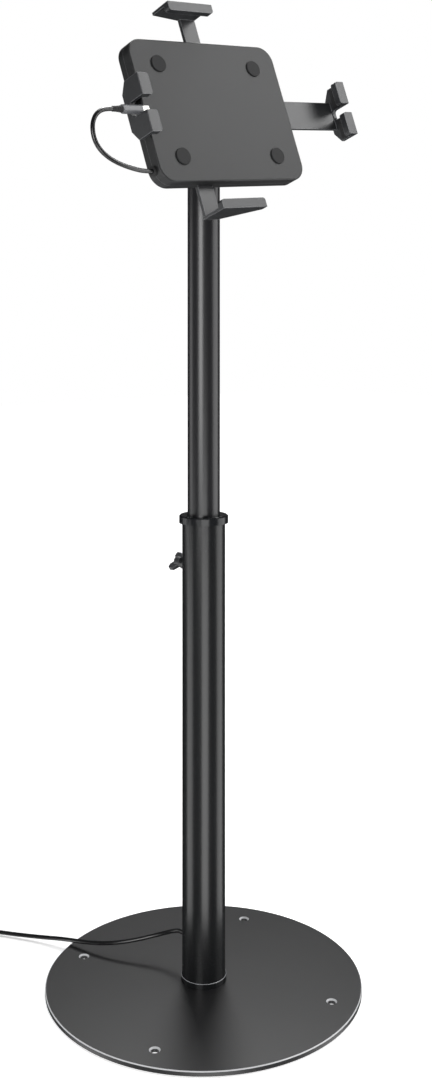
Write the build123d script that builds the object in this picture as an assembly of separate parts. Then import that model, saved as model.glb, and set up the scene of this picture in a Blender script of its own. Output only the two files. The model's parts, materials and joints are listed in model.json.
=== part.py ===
"""Floor stand that holds a large tablet at standing or sitting height.

Millimetres, +Z up, origin at the middle of the base's underside. The holder looks along -Y.
The holder is modelled in a frame of its own, X to its right, Y to its back and Z up its face, with its
origin at the middle of the tablet's screen. It is then tilted back, spun a little and set on the tilt joint.
"""

from build123d import *
import math
import os

# Tablet space that the claws close on
tablet_width = 280.6
tablet_height = 214.9
grip_gap = 0.5

# Fits, shared by the whole stand
seat_clearance = 0.05
running_clearance = 0.08
bolt_running_clearance = 0.06
sliding_gap = 0.3
brake_gap = 0.1
overrun = 20.0

# Base
base_diameter = 340.0
base_plate_thickness = 4.8
base_edge_chamfer = 0.9
base_pad_thickness = 1.2
base_pad_inset = 4.0
base_pad_width = 116.0
base_hole_diameter = 8.5
base_hole_chamfer = 1.5
base_hole_edge = 28.0
base_hole_count = 4
base_hole_angle = 31.0
base_hole_pad_margin = 3.0

# Foot of the column
foot_plug_height = 24.0
foot_plug_chamfer = 1.5
foot_plug_roof = 8.0
foot_thread_end = 0.9
foot_screw_count = 3
foot_screw_edge = 8.25
foot_screw_diameter = 6.0
foot_screw_head_diameter = 11.0
foot_screw_head_height = 2.5
foot_ring_wall = 1.15
foot_ring_height = 6.0
foot_ring_chamfer = 0.5

# Lower tube, collar and guide
lower_tube_diameter = 46.5
lower_tube_wall = 2.0
lower_tube_top = 503.0
collar_wall = 3.25
collar_skirt = 4.2
collar_lip = 4.3
collar_chamfer = 1.3
guide_space = 3.75
guide_length = 73.0
guide_lead = 1.0

# Height clamp
clamp_drop = 50.5
clamp_direction = 105.0
clamp_boss_diameter = 14.0
clamp_boss_proud = 5.0
clamp_spigot_diameter = 9.8
clamp_stud_diameter = 6.0
clamp_pad_diameter = 9.6
clamp_pad_recess = 0.55
knob_gap = 0.4
knob_hub_diameter = 11.0
knob_hub_length = 9.0
knob_hub_round = 2.0
knob_roof = 3.0
knob_wing_thickness = 4.2
knob_wing_reach = 11.0
knob_wing_tip_width = 6.0
knob_wing_rise = 3.5
knob_wing_round = 1.6
knob_roll = 50.0

# Upper tube, lower glide and clip
upper_tube_wall = 1.8
upper_tube_length = 520.0
tube_overlap = 133.0
glide_height = 31.7
glide_floor = 5.7
glide_floor_width = 1.7
clip_groove_depth = 0.5
clip_thickness = 1.5
clip_proud = 2.1
clip_slot = 6.0

# Neck and tilt hinge
neck_rise = 27.5
tilt_angle = 17.39
neck_plug_length = 28.0
neck_shoulder = 3.0
neck_eye_radius = 11.0
neck_eye_half_width = 13.4
neck_outlet_rise = 9.0
neck_screw_diameter = 4.0
neck_screw_length = 8.0
neck_screw_drop = 14.0
hinge_bolt_diameter = 8.0
hinge_hex_size = 13.0
hinge_head_height = 5.3
hinge_nut_height = 6.5
hinge_washer_diameter = 21.0
hinge_washer_thickness = 0.6

# Tilt bracket and the holder's pivot
spin_angle = 4.77
pivot_offset_x = -6.48
pivot_depth = 70.7
bracket_disc_diameter = 50.0
bracket_disc_thickness = 6.0
bracket_ear_thickness = 4.5
bracket_ear_half_height = 16.0
bracket_ear_radius = 12.0
bracket_edge_round = 1.2
flange_diameter = 56.0
flange_thickness = 4.0
shaft_diameter = 14.0
shaft_bore = 8.4
shaft_proud = 0.6
pivot_washer_diameter = 24.0
pivot_washer_thickness = 1.5
pivot_nut_size = 21.0
pivot_nut_height = 6.0
flange_screw_count = 4
flange_screw_circle = 40.0
flange_screw_diameter = 3.2
flange_screw_head_diameter = 6.4
flange_screw_head_height = 1.7

# Holder housing, measured from the screen's plane backwards
housing_left_inset = 8.0
housing_right_inset = 78.0
housing_half_height = 77.0
housing_corner = 18.0
housing_front = 8.5
housing_edge_round = 1.6
shell_wall = 3.0
bearer_depth = 3.2
side_tongue_thickness = 3.6
divider_thickness = 1.2
claw_tongue_thickness = 4.0
guide_rib_thickness = 2.6
guide_rib_end_gap = 6.0
bearer_rib_offset = 9.0

# Housing screws
shell_screw_inset = 12.0
shell_screw_middle = 56.0
shell_screw_diameter = 3.0
shell_screw_head_diameter = 5.8
shell_screw_head_height = 1.5
shell_screw_play = 0.2
shell_pillar_diameter = 8.0

# Rubber pads on the housing's face
face_pad_diameter = 18.0
face_pad_height = 1.6
face_pad_round = 0.6
face_pad_inset_x = 34.0
face_pad_inset_z = 27.0

# Side claws
side_claw_half_height = 31.0
side_claw_wall = 4.0
side_claw_rear = 21.0
side_claw_rear_half_height = 19.5
side_claw_rear_slope = 8.0
lip_thickness = 7.4
lip_round = 3.2
side_lip_width = 13.5
edge_round = 0.9
left_notch_half_height = 8.0
right_notch_half_height = 5.4
notch_depth = 23.0
notch_round = 3.6
pad_thickness = 1.2
pad_inset = 2.5
side_tongue_half_height = 16.0
side_tongue_end = -8.0
side_tongue_round = 4.0
fixed_tongue_length = 47.0
fork_screw_diameter = 3.0
fork_screw_head_diameter = 5.8
fork_screw_head_height = 1.7
fork_screw_reach = 30.0
fork_screw_half_pitch = 9.0
fork_pillar_diameter = 7.0

# Top and bottom claws
claw_inset = 82.0
claw_half_width = 29.5
claw_wall = 3.0
claw_lip_height = 10.0
claw_diagonal_start = 18.0
claw_diagonal_front = -1.0
claw_tongue_outer = 28.5
claw_tongue_tail = 25.0

# Rack and pinion between the top and bottom claws
gear_module = 1.25
gear_teeth = 12
gear_pressure_angle = 20.0
gear_addendum_share = 0.7
gear_dedendum_share = 0.95
gear_backlash = 0.3
gear_flank_steps = 3
gear_side_gap = 0.1
rack_teeth_below = 5
rack_teeth_above = 9
post_diameter = 8.2
post_tip_diameter = 5.0

# Brakes that hold the claws where they are set
side_brake_size = 14.0
side_brake_thickness = 1.7
side_brake_inset = 19.0
claw_brake_width = 9.0
claw_brake_height = 12.0
claw_brake_thickness = 1.4
claw_brake_inset = 17.0

# Cable
cable_diameter = 4.5
cable_bore_gap = 0.3
exit_rise = 36.0
grommet_hole = 9.0
grommet_flange_diameter = 13.0
grommet_flange_thickness = 2.75
riser_bend = 18.0
riser_drop = 33.0
drop_rise = 6.0
drop_length = 76.0
port_depth = 18.0
port_inset = 15.4
port_flange_diameter = 10.0
port_flange_thickness = 2.0
port_spigot_diameter = 7.0

# Charging plug, in the left claw's notch
plug_depth = 3.2
plug_height = -3.0
plug_start = -141.0
plug_length = 25.0
plug_height_size = 9.4
plug_thickness = 6.0
plug_round = 2.6
plug_tip_length = 8.3
plug_tip_height = 8.3
plug_tip_thickness = 2.5
plug_tip_wall = 0.35
plug_neck_length = 11.0
plug_neck_diameter = 7.4
plug_neck_end_diameter = 5.6

# Put-away coil and the far plug
coil_radius = 29.0
coil_pitch = 5.0
coil_layer_height = 5.0
coil_quarter_turns = 18
coil_climb_quarters = 2
coil_first_height = 3.2
coil_turn_rest = 149.2
tie_width = 9.0
tie_thickness = 0.7
tie_gap = 0.35
tie_direction = 262.0
far_plug_length = 24.0
far_plug_width = 15.5
far_plug_thickness = 8.0
far_plug_round = 2.4
far_plug_floor_gap = 0.05
far_relief_length = 10.0
far_relief_diameter = 7.0
far_relief_end_diameter = 5.4
far_shell_length = 13.0
far_shell_width = 12.0
far_shell_thickness = 4.5
far_shell_wall = 0.4

# Route of the cable from the column's foot over the base to the floor
tail_points = [
    (0.0, 26.0, 42.0),
    (0.0, 36.5, 42.0),
    (0.8, 48.5, 39.6),
    (-8.8, 66.0, 31.6),
    (-30.4, 85.3, 24.0),
    (-49.3, 106.3, 18.5),
    (-63.1, 133.5, 13.8),
    (-72.3, 162.7, 9.6),
    (-89.0, 196.1, 4.8),
    (-114.1, 234.7, 3.2),
    (-129.5, 260.5, 3.2),
]

# Route of the loop from the housing's side to the plug, in the holder's own frame
loop_points = [
    (-136.0, 18.0, -61.6),
    (-146.5, 17.4, -61.6),
    (-158.0, 15.6, -60.2),
    (-170.0, 14.0, -57.6),
    (-181.5, 12.6, -53.8),
    (-191.4, 11.3, -48.6),
    (-199.0, 9.9, -41.8),
    (-203.4, 8.4, -33.2),
    (-204.0, 7.0, -24.0),
    (-202.0, 5.6, -15.0),
    (-196.0, 4.2, -7.0),
    (-186.5, 3.2, -3.0),
    (-177.0, 3.2, -3.0),
]

# Route of the short end from the coil down to the far plug: lengths run on, heights above the floor
end_runs = [10.0, 10.0, 10.0, 10.0, 10.0]
end_heights = [8.2, 7.3, 5.6, 4.05, 4.05]

# Worked out once from the sizes above
base_top = base_pad_thickness + base_plate_thickness
base_hole_circle = base_diameter - 2 * base_hole_edge
base_pad_bore = base_diameter - 2 * base_pad_inset - 2 * base_pad_width
lower_tube_bore_radius = lower_tube_diameter / 2 - lower_tube_wall
foot_screw_depth = foot_plug_height - foot_plug_roof
foot_screw_circle = 2 * (lower_tube_bore_radius - foot_screw_edge)
foot_ring_diameter = lower_tube_diameter + 2 * foot_ring_wall
collar_diameter = lower_tube_diameter + 2 * collar_wall
collar_bottom = lower_tube_top - collar_skirt
guide_bottom = lower_tube_top - guide_length
upper_tube_diameter = 2 * (lower_tube_bore_radius - guide_space)
upper_tube_bore_radius = upper_tube_diameter / 2 - upper_tube_wall
upper_tube_bottom = lower_tube_top - tube_overlap
upper_tube_top = upper_tube_bottom + upper_tube_length
glide_bore = 2 * (upper_tube_bore_radius - glide_floor_width)
clip_diameter = upper_tube_diameter + 2 * clip_proud
clip_bottom = upper_tube_bottom + glide_height
clamp_height = lower_tube_top - clamp_drop
clamp_boss_reach = lower_tube_diameter / 2 + clamp_boss_proud
clamp_pad_start = upper_tube_diameter / 2 + brake_gap
clamp_pad_thickness = guide_space - brake_gap - clamp_pad_recess
clamp_stud_start = clamp_pad_start + clamp_pad_thickness + brake_gap
knob_foot = clamp_boss_reach + knob_gap
knob_top = knob_foot + knob_hub_length
clamp_stud_end = knob_top - knob_roof
hinge_height = upper_tube_top + neck_rise
neck_outlet_height = upper_tube_top + neck_outlet_rise
neck_screw_height = upper_tube_top - neck_screw_drop
bracket_ear_gap = neck_eye_half_width + hinge_washer_thickness + 2 * brake_gap
exit_height = base_top + exit_rise
exit_face = lower_tube_diameter / 2 + grommet_flange_thickness
riser_top = lower_tube_top - riser_drop
drop_top = upper_tube_top + drop_rise
drop_bottom = drop_top - drop_length
front_inner = housing_front + shell_wall
side_tongue_front = front_inner + bearer_depth + sliding_gap
side_tongue_back = side_tongue_front + side_tongue_thickness
seam = side_tongue_back + sliding_gap
divider_back = seam + divider_thickness
claw_tongue_front = divider_back + sliding_gap
claw_tongue_back = claw_tongue_front + claw_tongue_thickness
rear_inner = claw_tongue_back + sliding_gap
housing_back = rear_inner + shell_wall
flange_back = housing_back + flange_thickness
disc_front = flange_back + sliding_gap
disc_back = disc_front + bracket_disc_thickness
pivot_washer_front = disc_back + brake_gap
pivot_nut_front = pivot_washer_front + pivot_washer_thickness
shaft_back = pivot_nut_front + pivot_nut_height - shaft_proud
grip_half_width = tablet_width / 2 + grip_gap
grip_half_height = tablet_height / 2 + grip_gap
side_wall_inner = grip_half_width + pad_thickness
side_wall_outer = side_wall_inner + side_claw_wall
claw_wall_inner = grip_half_height + pad_thickness
claw_wall_outer = claw_wall_inner + claw_wall
lip_back = -grip_gap - pad_thickness
lip_front = lip_back - lip_thickness
pitch_radius = gear_module * gear_teeth / 2
tooth_pitch = math.pi * gear_module
gear_addendum = gear_addendum_share * gear_module
gear_dedendum = gear_dedendum_share * gear_module
rack_root = pitch_radius + gear_dedendum
housing_left = housing_left_inset - side_wall_inner
housing_right = side_wall_inner - housing_right_inset
housing_centre = (housing_left + housing_right) / 2
housing_width = housing_right - housing_left
claw_centre = housing_left + claw_inset
side_brake_place = housing_right - side_brake_inset
claw_brake_place = housing_half_height - claw_brake_inset
port_height = port_inset - housing_half_height


def rod(radius, low, high):
    """Upright cylinder on the Z axis."""
    stand = (Align.CENTER, Align.CENTER, Align.MIN)
    return Pos(0, 0, low) * Cylinder(radius, high - low, align=stand)


def ring(outer, inner, low, high):
    """Upright tube on the Z axis."""
    return rod(outer, low, high) - rod(inner, low - overrun, high + overrun)


def rod_y(radius, x, z, front, back):
    """Cylinder along Y."""
    return Pos(x, front, z) * Rot(X=-90) * rod(radius, 0, back - front)


def rod_x(radius, left, right, y, z):
    """Cylinder along X."""
    return Pos(left, y, z) * Rot(Y=90) * rod(radius, 0, right - left)


def block(left, right, front, back, low, high):
    """Box between six planes."""
    corner = (Align.MIN, Align.MIN, Align.MIN)
    return Pos(left, front, low) * Box(right - left, back - front, high - low, align=corner)


def slab(outline, front, back):
    """A sketch with X across and Z up, drawn out along Y."""
    return Pos(0, back, 0) * extrude(Plane.XZ * outline, amount=back - front)


def side_plate(outline, left, right):
    """A sketch with Y across and Z up, drawn out along X."""
    return Pos(left, 0, 0) * extrude(Plane.YZ * outline, amount=right - left)


def level_plate(outline, low, high):
    """A sketch with X across and Y back, drawn up along Z."""
    return Pos(0, 0, low) * extrude(outline, amount=high - low)


def countersunk(shank_radius, head_radius, head_height, length):
    """Countersunk screw along Z, its flat face at zero and its shank above."""
    stand = (Align.CENTER, Align.CENTER, Align.MIN)
    head = Cone(head_radius, shank_radius, head_height, align=stand)
    return head + rod(shank_radius, 0, length)


def around(count, radius, angle=0.0):
    """Places evenly spaced on a circle."""
    step = 360 / count
    turns = [math.radians(angle + step * i) for i in range(count)]
    return [(radius * math.cos(turn), radius * math.sin(turn)) for turn in turns]


def hexagon(across_flats):
    """Hexagon sketch, by its width across flats."""
    return RegularPolygon(across_flats / 2, 6, major_radius=False)


# Frames


def tilt_frame():
    """Hinge axis at the neck, leaning back with the holder."""
    return Pos(0, 0, hinge_height) * Rot(X=-tilt_angle)


def holder_frame():
    """The holder's own frame, at the middle of the screen."""
    spun = tilt_frame() * Rot(Y=-spin_angle)
    return spun * Pos(-pivot_offset_x, -pivot_depth, 0)


def clamp_frame():
    """Height clamp: Z runs out of the column, X points down."""
    turned = Pos(0, 0, clamp_height) * Rot(Z=clamp_direction)
    return turned * Rot(Y=90)


# Base and fixed column


def base_hole_places():
    return around(base_hole_count, base_hole_circle / 2, base_hole_angle)


def foot_screw_places():
    return around(foot_screw_count, foot_screw_circle / 2)


def base_plate():
    plate = rod(base_diameter / 2, base_pad_thickness, base_top)
    rim = plate.edges().group_by(Axis.Z)[-1]
    plate = chamfer(rim, base_edge_chamfer)
    hole = base_hole_diameter / 2
    stand = (Align.CENTER, Align.CENTER, Align.MIN)
    for x, y in base_hole_places():
        plate -= Pos(x, y, 0) * rod(hole, -overrun, base_top + overrun)
        mouth = Cone(hole, hole + base_hole_chamfer, base_hole_chamfer, align=stand)
        plate -= Pos(x, y, base_top - base_hole_chamfer) * mouth
    shank = foot_screw_diameter / 2 + seat_clearance
    head = foot_screw_head_diameter / 2 + seat_clearance
    seat = countersunk(shank, head, foot_screw_head_height, base_plate_thickness + overrun)
    for x, y in foot_screw_places():
        plate -= Pos(x, y, base_pad_thickness) * seat
    return plate


def base_pad():
    pad = ring(base_diameter / 2 - base_pad_inset, base_pad_bore / 2, 0, base_pad_thickness)
    opening = base_hole_diameter / 2 + base_hole_pad_margin
    for x, y in base_hole_places():
        pad -= Pos(x, y, 0) * rod(opening, -overrun, overrun)
    return pad


def foot_screws():
    reach = base_plate_thickness + foot_screw_depth
    screw = countersunk(foot_screw_diameter / 2, foot_screw_head_diameter / 2, foot_screw_head_height, reach)
    return [Pos(x, y, base_pad_thickness) * screw for x, y in foot_screw_places()]


def foot_plug():
    top = base_top + foot_plug_height
    plug = rod(lower_tube_bore_radius - seat_clearance, base_top, top)
    plug = chamfer(plug.edges().group_by(Axis.Z)[-1], foot_plug_chamfer)
    thread = foot_screw_diameter / 2 + seat_clearance
    for x, y in foot_screw_places():
        plug -= Pos(x, y, 0) * rod(thread, -overrun, base_top + foot_screw_depth + foot_thread_end)
    return plug


def foot_ring():
    bore = lower_tube_diameter / 2 + seat_clearance
    trim = ring(foot_ring_diameter / 2, bore, base_top, base_top + foot_ring_height)
    top_edge = trim.edges().group_by(Axis.Z)[-1].sort_by(SortBy.RADIUS)[-1]
    return chamfer(top_edge, foot_ring_chamfer)


def lower_tube():
    tube = ring(lower_tube_diameter / 2, lower_tube_bore_radius, base_top, lower_tube_top)
    exit_hole = Rot(X=-90) * rod(grommet_hole / 2, 0, lower_tube_diameter)
    tube -= Pos(0, 0, exit_height) * exit_hole
    clamp_hole = rod(clamp_spigot_diameter / 2 + seat_clearance, 0, lower_tube_diameter)
    return tube - clamp_frame() * clamp_hole


def collar():
    tube_seat = lower_tube_top + seat_clearance
    top = lower_tube_top + collar_lip
    body = rod(collar_diameter / 2, collar_bottom, top)
    body = chamfer(body.edges().group_by(Axis.Z)[-1], collar_chamfer)
    body -= rod(lower_tube_diameter / 2 + seat_clearance, collar_bottom - overrun, tube_seat)
    return body - rod(upper_tube_diameter / 2 + sliding_gap, 0, top + overrun)


def guide_bush():
    outer = lower_tube_bore_radius - seat_clearance
    bore = upper_tube_diameter / 2 + running_clearance
    bush = ring(outer, bore, guide_bottom, lower_tube_top)
    lead = bush.edges().group_by(Axis.Z)[0].sort_by(SortBy.RADIUS)[0]
    bush = chamfer(lead, guide_lead)
    pad_hole = rod(clamp_pad_diameter / 2 + seat_clearance, 0, lower_tube_diameter)
    return bush - clamp_frame() * pad_hole


def clamp_boss():
    skin = lower_tube_diameter / 2 + seat_clearance
    spigot_start = lower_tube_bore_radius + seat_clearance
    boss = rod(clamp_boss_diameter / 2, lower_tube_bore_radius, clamp_boss_reach)
    boss = clamp_frame() * boss - rod(skin, 0, lower_tube_top)
    spigot = clamp_frame() * rod(clamp_spigot_diameter / 2, spigot_start, clamp_boss_reach)
    thread = clamp_frame() * rod(clamp_stud_diameter / 2 + bolt_running_clearance, 0, collar_diameter)
    return boss + spigot - thread


def pressure_pad():
    return clamp_frame() * rod(clamp_pad_diameter / 2, clamp_pad_start, clamp_pad_start + clamp_pad_thickness)


def clamp_stud():
    return clamp_frame() * rod(clamp_stud_diameter / 2, clamp_stud_start, clamp_stud_end)


def knob_wing():
    """One wing: a plate that rises outwards and ends round."""
    rise = knob_top + knob_wing_rise
    outline = Polygon(
        (0, knob_foot + knob_wing_round),
        (knob_hub_diameter / 2, knob_foot + knob_wing_round),
        (knob_wing_reach, rise - knob_wing_tip_width),
        (knob_wing_reach, rise),
        (knob_hub_diameter / 2, rise),
        (0, knob_top - knob_wing_round),
        align=None,
    )
    corners = outline.vertices().sort_by(Axis.X)[-2:]
    outline = fillet(corners, knob_wing_round)
    return extrude(Plane.XZ * outline, amount=knob_wing_thickness / 2, both=True)


def clamp_knob():
    hub = rod(knob_hub_diameter / 2, knob_foot, knob_top)
    hub = fillet(hub.edges().group_by(Axis.Z)[-1], knob_hub_round)
    wing = knob_wing()
    body = hub + wing + Rot(Z=180) * wing
    body -= rod(clamp_stud_diameter / 2 + seat_clearance, 0, clamp_stud_end + seat_clearance)
    return clamp_frame() * Rot(Z=knob_roll) * body


# Sliding column


def upper_tube():
    tube = ring(upper_tube_diameter / 2, upper_tube_bore_radius, upper_tube_bottom, upper_tube_top)
    groove_low = clip_bottom - seat_clearance
    groove_high = clip_bottom + clip_thickness + seat_clearance
    groove_floor = upper_tube_diameter / 2 - clip_groove_depth
    tube -= rod(upper_tube_diameter, groove_low, groove_high) - rod(groove_floor, groove_low, groove_high)
    hole = neck_screw_diameter / 2 + seat_clearance
    return tube - rod_x(hole, -upper_tube_diameter, upper_tube_diameter, 0, neck_screw_height)


def glide_clip():
    inner = upper_tube_diameter / 2 - clip_groove_depth + seat_clearance
    clip = ring(clip_diameter / 2, inner, clip_bottom, clip_bottom + clip_thickness)
    half = clip_slot / 2
    slot = block(0, clip_diameter, -half, half, 0, upper_tube_top)
    return clip - slot


def lower_glide():
    floor_top = upper_tube_bottom - sliding_gap
    low = floor_top - glide_floor
    outer = lower_tube_bore_radius - running_clearance
    glide = rod(outer, low, floor_top + glide_height)
    glide -= rod(upper_tube_diameter / 2 + running_clearance, floor_top, upper_tube_top)
    return glide - rod(glide_bore / 2, low - overrun, upper_tube_top)


def neck():
    plug_low = upper_tube_top - neck_plug_length
    shoulder_top = upper_tube_top + neck_shoulder
    body = rod(upper_tube_bore_radius - seat_clearance, plug_low, upper_tube_top)
    body += rod(upper_tube_diameter / 2, upper_tube_top, shoulder_top)
    web = block(
        -neck_eye_half_width,
        neck_eye_half_width,
        -neck_eye_radius,
        neck_eye_radius,
        shoulder_top,
        hinge_height,
    )
    eye = rod_x(neck_eye_radius, -neck_eye_half_width, neck_eye_half_width, 0, hinge_height)
    body += web + eye
    wide = 2 * neck_eye_half_width
    body -= rod_x(hinge_bolt_diameter / 2 + bolt_running_clearance, -wide, wide, 0, hinge_height)
    bore = cable_diameter / 2 + cable_bore_gap
    body -= rod(bore, plug_low - overrun, neck_outlet_height)
    body -= rod_y(bore, 0, neck_outlet_height, -upper_tube_diameter, 0)
    return body - neck_screw_pair(seat_clearance)


def neck_screw_pair(clearance):
    """The two set screws that hold the neck in the tube, or their holes."""
    radius = neck_screw_diameter / 2 + clearance
    skin = upper_tube_diameter / 2
    start = skin - neck_screw_length
    right = rod_x(radius, start - clearance, skin, 0, neck_screw_height)
    left = rod_x(radius, -skin, -start + clearance, 0, neck_screw_height)
    return right + left


# Tilt joint, in the leaning frame


def bracket_ear(left):
    disc_rear = disc_back - pivot_depth
    profile = Polygon(
        (disc_rear - seat_clearance, -bracket_ear_half_height),
        (0, -bracket_ear_radius),
        (0, bracket_ear_radius),
        (disc_rear - seat_clearance, bracket_ear_half_height),
        align=None,
    )
    profile += Circle(bracket_ear_radius)
    return side_plate(profile, left, left + bracket_ear_thickness)


def tilt_bracket():
    low = disc_front - pivot_depth
    high = disc_back - pivot_depth
    disc = rod_y(bracket_disc_diameter / 2, 0, 0, low, high)
    disc = fillet(disc.edges().group_by(Axis.Y)[0], bracket_edge_round)
    body = disc + bracket_ear(bracket_ear_gap) + bracket_ear(-bracket_ear_gap - bracket_ear_thickness)
    body -= rod_y(shaft_diameter / 2 + bolt_running_clearance, 0, 0, low - overrun, high + overrun / 2)
    ear_outer = bracket_ear_gap + bracket_ear_thickness
    body -= rod_x(hinge_bolt_diameter / 2 + seat_clearance, -ear_outer - overrun, ear_outer + overrun, 0, 0)
    return tilt_frame() * body


def hex_x(across_flats, left, right):
    """Hexagonal bar along X, through the hinge."""
    bar = extrude(hexagon(across_flats), amount=right - left)
    return Pos(left, 0, 0) * Rot(Y=90) * bar


def tilt_bolt():
    ear_outer = bracket_ear_gap + bracket_ear_thickness
    head = hex_x(hinge_hex_size, -ear_outer - hinge_head_height, -ear_outer)
    shank = rod_x(hinge_bolt_diameter / 2, -ear_outer, ear_outer + hinge_nut_height + shaft_proud, 0, 0)
    return tilt_frame() * (head + shank)


def tilt_nut():
    ear_outer = bracket_ear_gap + bracket_ear_thickness
    nut = hex_x(hinge_hex_size, ear_outer, ear_outer + hinge_nut_height)
    thread = rod_x(hinge_bolt_diameter / 2 + seat_clearance, 0, ear_outer + overrun, 0, 0)
    return tilt_frame() * (nut - thread)


def friction_washers():
    outer = bracket_ear_gap - brake_gap
    inner = outer - hinge_washer_thickness
    bore = rod_x(hinge_bolt_diameter / 2 + seat_clearance, -outer - overrun, outer + overrun, 0, 0)
    right = rod_x(hinge_washer_diameter / 2, inner, outer, 0, 0) - bore
    left = rod_x(hinge_washer_diameter / 2, -outer, -inner, 0, 0) - bore
    return [tilt_frame() * right, tilt_frame() * left]


# Holder: pivot


def pivot_rod(radius, front, back):
    return rod_y(radius, pivot_offset_x, 0, front, back)


def flange_screw_places():
    places = around(flange_screw_count, flange_screw_circle / 2, 45)
    return [(pivot_offset_x + x, z) for x, z in places]


def flange_screw(clearance):
    """A flange screw along Y with its flat face at zero, or its hole with a clearance."""
    shank = flange_screw_diameter / 2 + clearance
    head = flange_screw_head_diameter / 2 + clearance
    length = flange_thickness + shell_wall - sliding_gap
    return Rot(X=90) * countersunk(shank, head, flange_screw_head_height, length)


def pivot_flange():
    body = pivot_rod(flange_diameter / 2, housing_back, flange_back)
    body += pivot_rod(shaft_diameter / 2, flange_back, shaft_back)
    body -= pivot_rod(shaft_bore / 2, housing_front, shaft_back + overrun)
    for x, z in flange_screw_places():
        body -= Pos(x, flange_back, z) * flange_screw(seat_clearance)
    return body


def flange_screws():
    return [Pos(x, flange_back, z) * flange_screw(0) for x, z in flange_screw_places()]


def pivot_washer():
    body = pivot_rod(pivot_washer_diameter / 2, pivot_washer_front, pivot_nut_front)
    return body - pivot_rod(shaft_diameter / 2 + seat_clearance, disc_front, shaft_back + overrun)


def pivot_nut():
    nut = Pos(pivot_offset_x, pivot_nut_front, 0) * Rot(X=-90) * extrude(
        hexagon(pivot_nut_size), amount=pivot_nut_height
    )
    return nut - pivot_rod(shaft_diameter / 2 + seat_clearance, disc_front, shaft_back + overrun)


# Holder: housing


def housing_outline(inset=0.0):
    """The housing's outline, drawn in by an inset."""
    corner = housing_corner - inset
    sketch = RectangleRounded(housing_width - 2 * inset, 2 * (housing_half_height - inset), corner)
    return Pos(housing_centre, 0) * sketch


def shell_screw_places():
    left = housing_left + shell_screw_inset
    right = housing_right - shell_screw_inset
    rows = [housing_half_height - shell_screw_inset, shell_screw_inset - housing_half_height]
    return [(x, z) for x in (left, right - shell_screw_middle, right) for z in rows]


def fork_screw_places():
    x = housing_left + fork_screw_reach
    return [(x, -fork_screw_half_pitch), (x, fork_screw_half_pitch)]


def cable_port_hole(clearance):
    radius = port_spigot_diameter / 2 + clearance
    return rod_x(radius, housing_left - overrun, housing_left + shell_wall + overrun, port_depth, port_height)


def side_slot(left, right):
    """Way through the housing's side for a side claw's tongue."""
    half = side_tongue_half_height + sliding_gap
    return block(left, right, side_tongue_front - sliding_gap, seam, -half, half)


def front_guides():
    """Ribs that bear and guide the right claw's tongue."""
    left = housing_left + fixed_tongue_length + guide_rib_end_gap
    right = housing_right - shell_wall / 2
    bearer_back = front_inner + bearer_depth
    half = guide_rib_thickness / 2
    ribs = []
    for z in (-bearer_rib_offset, bearer_rib_offset):
        ribs.append(block(left, right, front_inner, bearer_back, z - half, z + half))
    inner = side_tongue_half_height + sliding_gap
    outer = inner + guide_rib_thickness
    ribs.append(block(left, right, front_inner, seam, inner, outer))
    ribs.append(block(left, right, front_inner, seam, -outer, -inner))
    return ribs


def front_shell():
    body = slab(housing_outline(), housing_front, seam)
    front_rim = body.faces().sort_by(Axis.Y)[0].edges()
    body = fillet(front_rim, housing_edge_round)
    body -= slab(housing_outline(shell_wall), front_inner, seam + overrun)
    for x, z in shell_screw_places():
        body += rod_y(shell_pillar_diameter / 2, x, z, front_inner, seam)
    for rib in front_guides():
        body += rib
    pillar_back = side_tongue_front
    for x, z in fork_screw_places():
        body += rod_y(fork_pillar_diameter / 2, x, z, front_inner, pillar_back)
    seat_back = side_tongue_front - brake_gap - side_brake_thickness
    half = side_brake_size / 2 + shell_wall / 2
    body += block(
        side_brake_place - half, side_brake_place + half, front_inner, seat_back, -half, half
    )
    body -= side_slot(housing_right - shell_wall - seat_clearance, housing_right + overrun)
    body -= side_slot(housing_left - overrun, housing_left + shell_wall + seat_clearance)
    thread_front = housing_front + shell_wall / 2
    for x, z in shell_screw_places():
        body -= rod_y(shell_screw_diameter / 2 + seat_clearance, x, z, thread_front, seam + overrun)
    for x, z in fork_screw_places():
        body -= rod_y(fork_screw_diameter / 2 + seat_clearance, x, z, thread_front, seam + overrun)
    return body - cable_port_hole(seat_clearance)


def claw_slot(side, low, high):
    """Way through the housing for one claw's tongue: side is 1 for the top claw, -1 for the bottom one."""
    inner = claw_centre + side * (rack_root - sliding_gap)
    outer = claw_centre + side * (claw_tongue_outer + sliding_gap)
    return block(min(inner, outer), max(inner, outer), seam - overrun, rear_inner, low, high)


def rear_guides():
    """Ribs beside the two claw tongues."""
    ribs = []
    for side in (1, -1):
        inner = claw_centre + side * (claw_tongue_outer + sliding_gap)
        outer = inner + side * guide_rib_thickness
        reach = housing_half_height - shell_wall / 2
        low = side * claw_tongue_tail * -1
        ribs.append(
            block(
                min(inner, outer),
                max(inner, outer),
                divider_back,
                rear_inner,
                min(low, side * reach),
                max(low, side * reach),
            )
        )
    return ribs


def pinion_post():
    post = rod_y(post_diameter / 2, claw_centre, 0, claw_tongue_front, rear_inner)
    return post + rod_y(post_tip_diameter / 2, claw_centre, 0, seam + sliding_gap, rear_inner)


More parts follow.
